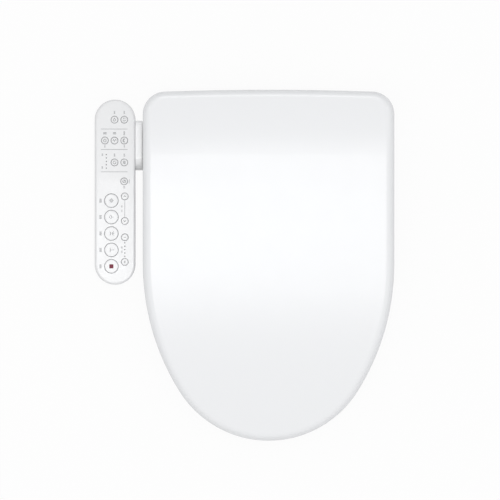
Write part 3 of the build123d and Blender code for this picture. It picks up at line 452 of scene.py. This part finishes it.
# Captions of the small keys: length and bars above the key, length below it
SMALL_CAPTIONS = (
    ("water_heat_key", 1.9, 4, 0),
    ("seat_heat_key", 1.9, 4, 0),
    ("power_key", 5.0, 3, 1.6),
    ("pulse_key", 4.6, 3, 0),
    ("eco_key", 2.4, 5, 1.6),
    ("nozzle_clean_key", 1.9, 4, 0),
    ("air_heat_key", 2.2, 4, 0),
    ("child_wash_key", 0, 0, 2.2),
)
CAPTION_ABOVE = 11.0
CAPTION_BELOW = 8.9
KEY_PAIRS = (("nozzle_back_key", "nozzle_forward_key"), ("pressure_down_key", "pressure_up_key"))
PAIR_CAPTION_LEVELS = (-3.4, 3.4)
# Captions at the ends of the level lights: shift across, then level and length of each
LIGHT_CAPTION_SHIFT = -5.2
LIGHT_CAPTIONS = ((11.6, 2.0), (-7.6, 2.2))


def rules():
    """Dividing lines across the panel and between the two nozzle keys, in millimetres."""
    low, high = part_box("panel_fascia")
    middle = (low.x + high.x) / 2 / MM
    lines = [((middle - RULE_REACH[0], y), (middle + RULE_REACH[1], y)) for y in RULE_LEVELS]
    back, forward = key_spot("nozzle_back_key") / MM, key_spot("nozzle_forward_key") / MM
    return lines + [((back.x, back.y - LINK_GAP), (forward.x, forward.y + LINK_GAP))]


def caption_bars():
    """Plain bars beside the keys in millimetres: centre, length and number of bars of each caption."""
    captions = []
    for key in BIG_KEYS:
        spot = key_spot(key) / MM
        shift, length, bars = BIG_CAPTION
        captions.append((spot.x + shift, spot.y, length, bars))
    for key, above, bars, below in SMALL_CAPTIONS:
        spot = key_spot(key) / MM
        if above:
            captions.append((spot.x, spot.y + CAPTION_ABOVE, above, bars))
        if below:
            captions.append((spot.x, spot.y - CAPTION_BELOW, below, SHORT_BARS))
    child = key_spot("child_wash_key") / MM
    shift, length, bars = CHILD_CAPTION
    captions.append((child.x + shift, child.y, length, bars))
    shift, length, bars = PAIR_CAPTION
    for upper, lower in KEY_PAIRS:
        middle = (key_spot(upper) + key_spot(lower)) / 2 / MM
        for level in PAIR_CAPTION_LEVELS:
            captions.append((middle.x + shift, middle.y + level, length, bars))
    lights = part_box("indicator_lights")[0] / MM
    middle = key_spot("air_heat_key") / MM
    for level, length in LIGHT_CAPTIONS:
        captions.append((lights.x + LIGHT_CAPTION_SHIFT, middle.y + level, length, SHORT_BARS))
    return captions


class BIDET_OT_panel_print(bpy.types.Operator):
    """Print the rings round the keys, the dividing lines and the caption bars."""

    bl_idname = "bidet.panel_print"
    bl_label = "Panel print"

    def execute(self, context):
        sizes = context.scene.bidet_print
        face = Vector((0, 0, FASCIA_TOP))
        rings = bmesh.new()
        for key in BIG_KEYS + SMALL_KEYS:
            low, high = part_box(key)
            inner = (high.x - low.x) / 2 / MM - KEY_FLANGE + RING_GAP
            circle = arc(0, 0, inner + sizes.ring_width / MM / 2, 0, 360, 72)[:-1]
            spot = key_spot(key)
            place = Vector((spot.x, spot.y, FASCIA_TOP))
            ribbon(rings, circle, sizes.ring_width, place, sizes.ink_height, closed=True)
        new_piece("key_rings", rings, MATERIALS["ring_ink"], "main_unit")
        lines = bmesh.new()
        for line in rules():
            ribbon(lines, line, sizes.rule_width, face, sizes.ink_height)
        new_piece("panel_rules", lines, MATERIALS["ring_ink"], "main_unit")
        captions = bmesh.new()
        for x, y, length, bars in caption_bars():
            for i in range(bars):
                level = y + (i - (bars - 1) / 2) * CAPTION_PITCH
                bar = ((x - length / 2, level), (x + length / 2, level))
                ribbon(captions, bar, CAPTION_WIDTH * MM, face, sizes.ink_height)
        new_piece("caption_bars", captions, MATERIALS["sign_ink"], "main_unit")
        return {"FINISHED"}


def burst():
    """Strokes of a small sun for warm air."""
    rays = []
    for i in range(8):
        a = math.radians(45 * i)
        rays.append([(reach * math.cos(a), reach * math.sin(a)) for reach in (2.1, 3.4)])
    return [arc(0, 0, 1.3, 0, 360)] + rays


# Strokes of each key's sign, in millimetres round the key's middle
KEY_SIGNS = {
    "dry_key": burst(),
    "massage_key": [
        [(-1.2, 2.8), (1.2, 0), (-1.2, -2.8)],
        [(-2.8, 1.1), (-2.8, -1.1)],
        [(2.6, 0), (3.4, 0)],
    ],
    "front_wash_key": [
        arc(-5.4, 0, 4.2, -40, 40),
        [(0.4, 0), (4.2, 0)],
        [(0.8, 1.2), (3.8, 2.6)],
        [(0.8, -1.2), (3.8, -2.6)],
    ],
    "rear_wash_key": [arc(-5.8, 0, 4.6, -40, 40), [(-0.2, 0), (4.4, 0)]],
    "water_heat_key": [[(0, 2.6), (-1.5, 0)], [(0, 2.6), (1.5, 0)], arc(0, -0.5, 1.6, 165, 375)],
    "seat_heat_key": [arc(0, 0.2, 2.2, 200, 340), [(-1, 1), (-1, 2.8)], [(1, 1), (1, 2.8)]],
    "power_key": [arc(0, -0.2, 2, 120, 420), [(0, 0.4), (0, 2.8)]],
    "pulse_key": [[(-2.8, 0), (-1.4, 1.5), (0, -1.5), (1.4, 1.5), (2.8, 0)]],
    "eco_key": [arc(0, 0, 2.3, 60, 300), arc(1.6, 0, 2.6, 120, 240)],
    "nozzle_clean_key": [arc(0, 0, 2.1, 100, 390), [(1.0, 2.6), (0.2, 1.9), (1.1, 1.2)]],
    "air_heat_key": [[(-2, y), (-0.7, y + 0.6), (0.7, y - 0.6), (2, y)] for y in (-1.5, 0, 1.5)],
    "child_wash_key": [arc(0, 0, 2.2, 0, 360), [(-1.5, -1.5), (1.5, 1.5)]],
    "nozzle_back_key": [[(-1.9, -0.9), (0, 1.1), (1.9, -0.9)]],
    "nozzle_forward_key": [[(-1.9, 0.9), (0, -1.1), (1.9, 0.9)]],
    "pressure_down_key": [[(-1.9, 0), (1.9, 0)]],
    "pressure_up_key": [[(-1.9, 0), (1.9, 0)], [(0, -1.9), (0, 1.9)]],
}
STOP_HALF = 3.1
STOP_CORNER = 0.5


class BIDET_OT_key_signs(bpy.types.Operator):
    """Print a plain sign on every key."""

    bl_idname = "bidet.key_signs"
    bl_label = "Key signs"

    def execute(self, context):
        sizes = context.scene.bidet_print
        for key, strokes in KEY_SIGNS.items():
            sign = bmesh.new()
            for stroke in strokes:
                ribbon(sign, stroke, sizes.sign_width, key_spot(key), sizes.ink_height)
            new_piece(key + "_sign", sign, MATERIALS["sign_ink"], key_body(key))
        square = bmesh.new()
        half, flat = STOP_HALF, STOP_HALF - STOP_CORNER
        corners = [(flat, -half), (half, -flat), (half, flat), (flat, half)]
        corners += [(-x, -y) for x, y in corners]
        blot(square, corners, key_spot("stop_key"), sizes.ink_height)
        new_piece("stop_key_sign", square, MATERIALS["red"], key_body("stop_key"))
        return {"FINISHED"}


# Repeated small parts, grown by node trees


def start_tree(name, inputs):
    """Empty geometry tree with named sizes as inputs; returns the tree and its two ends."""
    tree = bpy.data.node_groups.new(name, "GeometryNodeTree")
    face = tree.interface
    face.new_socket("Geometry", in_out="INPUT", socket_type="NodeSocketGeometry")
    for label, value in inputs:
        face.new_socket(label, in_out="INPUT", socket_type="NodeSocketFloat").default_value = value
    face.new_socket("Material", in_out="INPUT", socket_type="NodeSocketMaterial")
    face.new_socket("Geometry", in_out="OUTPUT", socket_type="NodeSocketGeometry")
    return tree, tree.nodes.new("NodeGroupInput"), tree.nodes.new("NodeGroupOutput")


def close_tree(tree, enter, leave, geometry):
    """Ends a tree in Realize Instances and Set Material."""
    real = tree.nodes.new("GeometryNodeRealizeInstances")
    paint = tree.nodes.new("GeometryNodeSetMaterial")
    tree.links.new(geometry, real.inputs["Geometry"])
    tree.links.new(real.outputs["Geometry"], paint.inputs["Geometry"])
    tree.links.new(enter.outputs["Material"], paint.inputs["Material"])
    tree.links.new(paint.outputs["Geometry"], leave.inputs["Geometry"])


def vector_of(tree, x=None, y=None, z=None):
    """Combine XYZ node with some of its axes linked."""
    node = tree.nodes.new("ShaderNodeCombineXYZ")
    for label, value in (("X", x), ("Y", y), ("Z", z)):
        if value is not None:
            tree.links.new(value, node.inputs[label])
    return node.outputs["Vector"]


def scaled(tree, value, factor):
    """A socket's value times a fixed factor."""
    times = tree.nodes.new("ShaderNodeMath")
    times.operation = "MULTIPLY"
    times.inputs[1].default_value = factor
    tree.links.new(value, times.inputs[0])
    return times.outputs[0]


HEAD_TOP_SHARE = 0.72
SHALLOW_ARM = 0.9


def screw_tree():
    """Pan head screws with a cross recess, one on every point, heads facing down."""
    tree, enter, leave = start_tree(
        "Pan head screws",
        (
            ("Head Radius", 3.2 * MM),
            ("Head Height", 1.3 * MM),
            ("Recess Width", 0.8 * MM),
        ),
    )
    nodes, links = tree.nodes, tree.links
    radius, height, width = (enter.outputs[n] for n in ("Head Radius", "Head Height", "Recess Width"))
    head = nodes.new("GeometryNodeMeshCone")
    head.inputs["Vertices"].default_value = 28
    links.new(scaled(tree, radius, HEAD_TOP_SHARE), head.inputs["Radius Top"])
    links.new(radius, head.inputs["Radius Bottom"])
    links.new(height, head.inputs["Depth"])
    solid = head.outputs["Mesh"]
    # The two arms of the recess differ a little in depth, so the cuts share no face.
    shallow = scaled(tree, height, SHALLOW_ARM)
    for long, wide, depth in ((radius, width, height), (width, radius, shallow)):
        arm = nodes.new("GeometryNodeMeshCube")
        links.new(vector_of(tree, long, wide, depth), arm.inputs["Size"])
        lift = nodes.new("GeometryNodeTransform")
        links.new(arm.outputs["Mesh"], lift.inputs["Geometry"])
        links.new(vector_of(tree, z=height), lift.inputs["Translation"])
        cut = nodes.new("GeometryNodeMeshBoolean")
        cut.operation = "DIFFERENCE"
        links.new(solid, cut.inputs["Mesh 1"])
        links.new(lift.outputs["Geometry"], cut.inputs["Mesh 2"])
        solid = cut.outputs["Mesh"]
    flip = nodes.new("GeometryNodeTransform")
    flip.inputs["Rotation"].default_value = (math.pi, 0, 0)
    links.new(solid, flip.inputs["Geometry"])
    put = nodes.new("GeometryNodeInstanceOnPoints")
    links.new(enter.outputs["Geometry"], put.inputs["Points"])
    links.new(flip.outputs["Geometry"], put.inputs["Instance"])
    close_tree(tree, enter, leave, put.outputs["Instances"])
    return tree


def bar_tree():
    """A plain bar on every point, built once."""
    if "Plain bars" in bpy.data.node_groups:
        return bpy.data.node_groups["Plain bars"]
    tree, enter, leave = start_tree(
        "Plain bars",
        (
            ("Length", 5 * MM),
            ("Width", 1 * MM),
            ("Height", 1 * MM),
        ),
    )
    nodes, links = tree.nodes, tree.links
    bar = nodes.new("GeometryNodeMeshCube")
    outputs = (enter.outputs["Length"], enter.outputs["Width"], enter.outputs["Height"])
    links.new(vector_of(tree, *outputs), bar.inputs["Size"])
    put = nodes.new("GeometryNodeInstanceOnPoints")
    links.new(enter.outputs["Geometry"], put.inputs["Points"])
    links.new(bar.outputs["Mesh"], put.inputs["Instance"])
    close_tree(tree, enter, leave, put.outputs["Instances"])
    return tree


def bead_tree():
    """A round bead round the X axis on every point."""
    tree, enter, leave = start_tree(
        "Grip beads",
        (
            ("Ring Radius", 6 * MM),
            ("Bead Radius", 0.8 * MM),
        ),
    )
    nodes, links = tree.nodes, tree.links
    ring = nodes.new("GeometryNodeCurvePrimitiveCircle")
    ring.inputs["Resolution"].default_value = 48
    links.new(enter.outputs["Ring Radius"], ring.inputs["Radius"])
    section = nodes.new("GeometryNodeCurvePrimitiveCircle")
    section.inputs["Resolution"].default_value = 10
    links.new(enter.outputs["Bead Radius"], section.inputs["Radius"])
    sweep = nodes.new("GeometryNodeCurveToMesh")
    links.new(ring.outputs["Curve"], sweep.inputs["Curve"])
    links.new(section.outputs["Curve"], sweep.inputs["Profile Curve"])
    turn = nodes.new("GeometryNodeTransform")
    turn.inputs["Rotation"].default_value = (0, math.pi / 2, 0)
    links.new(sweep.outputs["Mesh"], turn.inputs["Geometry"])
    smooth = nodes.new("GeometryNodeSetShadeSmooth")
    links.new(turn.outputs["Geometry"], smooth.inputs["Geometry"])
    put = nodes.new("GeometryNodeInstanceOnPoints")
    links.new(enter.outputs["Geometry"], put.inputs["Points"])
    links.new(smooth.outputs["Geometry"], put.inputs["Instance"])
    close_tree(tree, enter, leave, put.outputs["Instances"])
    return tree


def grow(name, tree, points, sizes, material, body):
    """Runs a tree on points in millimetres and keeps the result as one plain mesh on a body."""
    seeds = bpy.data.meshes.new(name + "_points")
    seeds.from_pydata([Vector(p) * MM for p in points], [], [])
    carrier = bpy.data.objects.new(name + "_points", seeds)
    bpy.context.scene.collection.objects.link(carrier)
    growth = carrier.modifiers.new("growth", "NODES")
    growth.node_group = tree
    values = dict(sizes, Material=material)
    for item in tree.interface.items_tree:
        if item.in_out == "INPUT" and item.name in values:
            growth[item.identifier] = values[item.name]
    graph = bpy.context.evaluated_depsgraph_get()
    mesh = bpy.data.meshes.new_from_object(carrier.evaluated_get(graph))
    mesh.name = name
    bpy.data.objects.remove(carrier)
    piece = bpy.data.objects.new(name, mesh)
    bpy.context.scene.collection.objects.link(piece)
    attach(piece, body)
    return piece


# Middles of the screw heads, in millimetres
BASE_SCREWS = [(x, y, 1.1) for x in (-140, 140) for y in (-62, -24)]
BASE_SCREWS += [(x, -70, 1.1) for x in (-46.5, 46.5)]
SEAT_SIDE_SCREWS = ((150, -130), (146, -262), (134, -340), (52, -438))
SEAT_SCREWS = [(side * x, y, 9.5) for side in (-1, 1) for x, y in SEAT_SIDE_SCREWS]
PANEL_SCREWS = [(x, y, 11.5) for x in (-248.3, -214.3) for y in (-192.6, -0.6)]


class BIDET_OT_screws(bpy.types.Operator):
    """Put the screws into the undersides of unit, seat and panel."""

    bl_idname = "bidet.screws"
    bl_label = "Screws"

    def execute(self, context):
        tree, steel = screw_tree(), MATERIALS["steel"]
        grow("unit_screws", tree, BASE_SCREWS + PANEL_SCREWS, {}, steel, "main_unit")
        grow("seat_screws", tree, SEAT_SCREWS, {}, steel, "seat")
        return {"FINISHED"}


# Grip ribs beside the two bolt slots and beads on the cord gland, in millimetres
BOLT_SIDE = 70
RIB_OFFSET = 14.5
RIB_HEIGHT = 0.3
RIB_LEVELS = [y for y in range(-26, 22, 2) if abs(y) > 16]
BEAD_START = 2.6
BEAD_PITCH = 2.2
BEAD_COUNT = 4


class BIDET_OT_ribs(bpy.types.Operator):
    """Add the grip ribs of the mounting plate and the beads of the cord gland."""

    bl_idname = "bidet.ribs"
    bl_label = "Ribs"

    def execute(self, context):
        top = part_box("mounting_plate")[1].z / MM + RIB_HEIGHT / 2
        spots = [
            (side * (BOLT_SIDE + offset), y, top)
            for side in (-1, 1)
            for offset in (-RIB_OFFSET, RIB_OFFSET)
            for y in RIB_LEVELS
        ]
        size = {"Length": 4 * MM, "Width": 0.9 * MM, "Height": RIB_HEIGHT * MM}
        grow("plate_ribs", bar_tree(), spots, size, MATERIALS["plate"], "mount")
        low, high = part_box("power_gland")
        middle = (low + high) / 2 / MM
        first = high.x / MM - BEAD_START
        spots = [(first - BEAD_PITCH * i, middle.y, middle.z) for i in range(BEAD_COUNT)]
        size = {"Ring Radius": 5.5 * MM, "Bead Radius": 0.75 * MM}
        grow("gland_beads", bead_tree(), spots, size, MATERIALS["rubber"], "main_unit")
        return {"FINISHED"}


# The inlet's nipple in metres: thread, shank behind the wall, hexagon in front of it, and gauze
THREAD_CREST = 10.4 * MM
THREAD_ROOT = 9.3 * MM
THREAD_PITCH = 1.814 * MM
THREAD_RUN_OUT = 2 * MM
THREAD_LEAD_IN = 1.6 * MM
# Steps of one thread turn: share of the pitch, share of the depth
THREAD_PROFILE = ((0.0, 0), (0.14, 0), (0.5, 1), (0.66, 1))
INLET_COLUMNS = 72
INLET_BORE = 6 * MM
BORE_BEVEL = (0.8 * MM, 1 * MM)
SHANK_RADIUS = 8 * MM
WALL_FACE = 150 * MM
NUT_END = 156 * MM
NUT_CORNER = 12.2 * MM
NUT_BEVEL = 0.6 * MM
NUT_BEVEL_SHARE = 0.95
GAUZE_INSET = 8 * MM
GAUZE_PITCH = 1.2 * MM
GAUZE_SIDE_WIRES = 4


class BIDET_OT_inlet_thread(bpy.types.Operator):
    """Replace the plain inlet by a nipple with its real thread and gauze filter."""

    bl_idname = "bidet.inlet_thread"
    bl_label = "Inlet thread"

    def execute(self, context):
        low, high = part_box("water_inlet")
        axis, end = (low + high) / 2, high.x
        bm = bmesh.new()
        angles = [2 * math.pi * k / INLET_COLUMNS for k in range(INLET_COLUMNS)]

        def point(a, x, radius):
            return bm.verts.new((x, axis.y + radius * math.cos(a), axis.z + radius * math.sin(a)))

        def ring(x, radius):
            return [point(a, x, radius) for a in angles]

        def hexagon(x, share):
            sixth = math.pi / 6
            flat = share * NUT_CORNER * math.cos(sixth)
            return [point(a, x, flat / math.cos((a + sixth) % (2 * sixth) - sixth)) for a in angles]

        def helix(turn, phase, height):
            row = []
            for a in angles:
                x = NUT_END + THREAD_PITCH * (turn + phase + a / (2 * math.pi))
                x = min(max(x, NUT_END), end)
                fade = min(1, (x - NUT_END) / THREAD_RUN_OUT, (end - x) / THREAD_LEAD_IN)
                row.append(point(a, x, THREAD_ROOT + (THREAD_CREST - THREAD_ROOT) * height * fade))
            return row

        foot = [ring(low.x, INLET_BORE), ring(low.x, SHANK_RADIUS), ring(WALL_FACE, SHANK_RADIUS)]
        foot += [hexagon(WALL_FACE, NUT_BEVEL_SHARE), hexagon(WALL_FACE + NUT_BEVEL, 1)]
        foot += [hexagon(NUT_END - NUT_BEVEL, 1), hexagon(NUT_END, NUT_BEVEL_SHARE)]
        foot.append(ring(NUT_END, THREAD_ROOT))
        mouth = [ring(end, THREAD_ROOT), ring(end, INLET_BORE + BORE_BEVEL[0])]
        mouth += [ring(end - BORE_BEVEL[1], INLET_BORE), foot[0]]
        for rows in (foot, mouth):
            for a, b in zip(rows, rows[1:]):
                for k in range(INLET_COLUMNS):
                    j = (k + 1) % INLET_COLUMNS
                    bm.faces.new((a[k], a[j], b[j], b[k]))
        # The thread's rows climb one pitch per turn, so their last column meets the next turn's first.
        turns = math.ceil((end - NUT_END) / THREAD_PITCH) + 1
        rows = [helix(turn, *step) for turn in range(-1, turns) for step in THREAD_PROFILE]
        lead = len(THREAD_PROFILE)
        for i in range(len(rows) - 1):
            for k in range(INLET_COLUMNS - 1):
                bm.faces.new((rows[i][k], rows[i][k + 1], rows[i + 1][k + 1], rows[i + 1][k]))
            if i + lead + 1 < len(rows):
                first, second = rows[i + lead][0], rows[i + lead + 1][0]
                bm.faces.new((rows[i][-1], first, second, rows[i + 1][-1]))
        bmesh.ops.remove_doubles(bm, verts=bm.verts, dist=0.001 * MM)
        nipple = new_piece("threaded_inlet", bm, MATERIALS["plated"], "main_unit")
        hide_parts("water_inlet")
        wires = range(-GAUZE_SIDE_WIRES, GAUZE_SIDE_WIRES + 1)
        spots = [Vector((end - GAUZE_INSET, axis.y, axis.z + GAUZE_PITCH * i)) / MM for i in wires]
        size = {"Length": 0.3 * MM, "Width": 10 * MM, "Height": 0.35 * MM}
        grow("inlet_gauze", bar_tree(), spots, size, MATERIALS["steel"], "main_unit")
        return {"FINISHED"}


# Stage

FLOOR_LEVEL = -0.045
FLOOR_HALF = 6
FLOOR_GREY = (0.78, 0.78, 0.78, 1)
FLOOR_GLOW = 0.94
ROOM_LOW = (0.46, 0.47, 0.49, 1)
ROOM_HIGH = (1, 1, 1, 1)
ROOM_HIGH_FROM = 0.75
# Softboxes overhead: left, right, front, rear edge and share of the power
SOFTBOXES = ((-0.2, 0.45, -0.77, 0.1, 1.0), (-0.5, -0.2, -0.77, -0.06, 1.35))
SOFTBOX_HEIGHT = 2.6
STRIP_SIZE = (1.0, 0.5)
STRIP_SPOT = (0, 1.2, 1.6)
STRIP_POWER = 3.6
FILL_SIZE = (0.6, 0.6)
FILL_SPOT = (0, -0.2, 6)
CAMERA_SPOT = (-0.0279, -0.1838)
SENSOR_WIDTH = 36
LID_LEVEL = 0.085


def paper_white():
    """Floor material: white to the camera and in reflections, with the seat's shadow, clear from below."""
    paper = bpy.data.materials.new("white_paper")
    paper.use_nodes = True
    nodes, links = paper.node_tree.nodes, paper.node_tree.links
    nodes.clear()

    def math_node(operation, first, second=None):
        node = nodes.new("ShaderNodeMath")
        node.operation = operation
        links.new(first, node.inputs[0])
        if second is not None:
            links.new(second, node.inputs[1])
        return node

    path = nodes.new("ShaderNodeLightPath").outputs
    mirrored = math_node("MAXIMUM", path["Is Glossy Ray"], path["Is Transmission Ray"])
    direct = math_node("MAXIMUM", path["Is Camera Ray"], mirrored.outputs[0])
    share = math_node("MULTIPLY", direct.outputs[0])
    share.inputs[1].default_value = FLOOR_GLOW
    matt = nodes.new("ShaderNodeBsdfDiffuse")
    matt.inputs["Color"].default_value = FLOOR_GREY
    glow = nodes.new("ShaderNodeEmission")
    mix = nodes.new("ShaderNodeMixShader")
    links.new(share.outputs[0], mix.inputs["Fac"])
    links.new(matt.outputs[0], mix.inputs[1])
    links.new(glow.outputs[0], mix.inputs[2])
    side = nodes.new("ShaderNodeNewGeometry")
    clear = nodes.new("ShaderNodeBsdfTransparent")
    seen = nodes.new("ShaderNodeMixShader")
    links.new(side.outputs["Backfacing"], seen.inputs["Fac"])
    links.new(mix.outputs[0], seen.inputs[1])
    links.new(clear.outputs[0], seen.inputs[2])
    leave = nodes.new("ShaderNodeOutputMaterial")
    links.new(seen.outputs[0], leave.inputs["Surface"])
    return paper


def lay_floor(scene):
    """Wide level sheet below the seat, low enough for the nozzles to come out."""
    bm = bmesh.new()
    bmesh.ops.create_grid(bm, x_segments=1, y_segments=1, size=FLOOR_HALF)
    bmesh.ops.translate(bm, verts=bm.verts, vec=(0, 0, FLOOR_LEVEL))
    mesh = bpy.data.meshes.new("floor")
    bm.to_mesh(mesh)
    bm.free()
    mesh.materials.append(paper_white())
    floor = bpy.data.objects.new("floor", mesh)
    scene.collection.objects.link(floor)


def light_room(scene, strength):
    """Even light from the room, greyer towards the horizon."""
    world = scene.world or bpy.data.worlds.new("room")
    scene.world = world
    world.use_nodes = True
    nodes, links = world.node_tree.nodes, world.node_tree.links
    nodes.clear()
    place = nodes.new("ShaderNodeTexCoord")
    split = nodes.new("ShaderNodeSeparateXYZ")
    links.new(place.outputs["Generated"], split.inputs[0])
    ramp = nodes.new("ShaderNodeValToRGB")
    low, high = ramp.color_ramp.elements
    low.position, low.color = 0.0, ROOM_LOW
    high.position, high.color = ROOM_HIGH_FROM, ROOM_HIGH
    links.new(split.outputs["Z"], ramp.inputs["Fac"])
    back = nodes.new("ShaderNodeBackground")
    back.inputs["Strength"].default_value = strength
    links.new(ramp.outputs["Color"], back.inputs["Color"])
    leave = nodes.new("ShaderNodeOutputWorld")
    links.new(back.outputs[0], leave.inputs["Surface"])


def hang_lamp(scene, name, size, power, spot):
    """Rectangular lamp that shines down and isn't seen itself."""
    lamp = bpy.data.lights.new(name, "AREA")
    lamp.shape = "RECTANGLE"
    lamp.size, lamp.size_y = size
    lamp.energy = power
    holder = bpy.data.objects.new(name, lamp)
    holder.location = spot
    holder.visible_camera = False
    scene.collection.objects.link(holder)
    return holder


class BIDET_OT_stage(bpy.types.Operator):
    """Set up floor, light and the straight-down camera."""

    bl_idname = "bidet.stage"
    bl_label = "Stage"

    def execute(self, context):
        scene, stage = context.scene, context.scene.bidet_stage
        scene.view_settings.view_transform = "Standard"
        lay_floor(scene)
        light_room(scene, stage.sky)
        for left, right, front, rear, share in SOFTBOXES:
            size = (right - left, rear - front)
            power = stage.softbox_power * size[0] * size[1] * share
            spot = ((left + right) / 2, (front + rear) / 2, SOFTBOX_HEIGHT)
            hang_lamp(scene, "softbox", size, power, spot)
        # Only the gloss shows the strip, along the lid's rear edge.
        strip = hang_lamp(scene, "rear_strip", STRIP_SIZE, STRIP_POWER, STRIP_SPOT)
        strip.rotation_euler = (-math.atan2(STRIP_SPOT[1], STRIP_SPOT[2]), 0, 0)
        strip.visible_diffuse = False
        fill = hang_lamp(scene, "top_fill", FILL_SIZE, stage.fill_power, FILL_SPOT)
        fill.visible_glossy = False

        camera = bpy.data.cameras.new("overhead")
        camera.sensor_width = SENSOR_WIDTH
        camera.lens = SENSOR_WIDTH * (stage.camera_height - LID_LEVEL) / stage.view_width
        camera.clip_end = 50
        eye = bpy.data.objects.new("overhead", camera)
        eye.location = (*CAMERA_SPOT, stage.camera_height)
        scene.collection.objects.link(eye)
        scene.camera = eye
        return {"FINISHED"}


class BIDET_PT_pieces(bpy.types.Panel):
    """Lists the steps that dress the seat."""

    bl_idname = "BIDET_PT_pieces"
    bl_label = "Bidet Seat"
    bl_space_type = "VIEW_3D"
    bl_region_type = "UI"
    bl_category = "Bidet Seat"

    def draw(self, context):
        for step in STEPS:
            self.layout.operator(step.bl_idname)
        for group in ("bidet_finish", "bidet_print", "bidet_stage"):
            settings = getattr(context.scene, group)
            box = self.layout.box()
            for name in settings.__annotations__:
                box.prop(settings, name)


STEPS = (
    BIDET_OT_stage,
    BIDET_OT_finishes,
    BIDET_OT_panel_print,
    BIDET_OT_key_signs,
    BIDET_OT_screws,
    BIDET_OT_ribs,
    BIDET_OT_inlet_thread,
)
CLASSES = (BidetFinish, BidetPrint, BidetStage, *STEPS, BIDET_PT_pieces)


def register():
    for cls in CLASSES:
        bpy.utils.register_class(cls)
    bpy.types.Scene.bidet_finish = PointerProperty(type=BidetFinish)
    bpy.types.Scene.bidet_print = PointerProperty(type=BidetPrint)
    bpy.types.Scene.bidet_stage = PointerProperty(type=BidetStage)


def unregister():
    del bpy.types.Scene.bidet_stage
    del bpy.types.Scene.bidet_print
    del bpy.types.Scene.bidet_finish
    for cls in reversed(CLASSES):
        bpy.utils.unregister_class(cls)


def main():
    register()
    bpy.ops.bidet.stage()
    bpy.ops.bidet.finishes()
    bpy.ops.bidet.panel_print()
    bpy.ops.bidet.key_signs()
    bpy.ops.bidet.screws()
    bpy.ops.bidet.ribs()
    bpy.ops.bidet.inlet_thread()


if __name__ == "__main__":
    main()
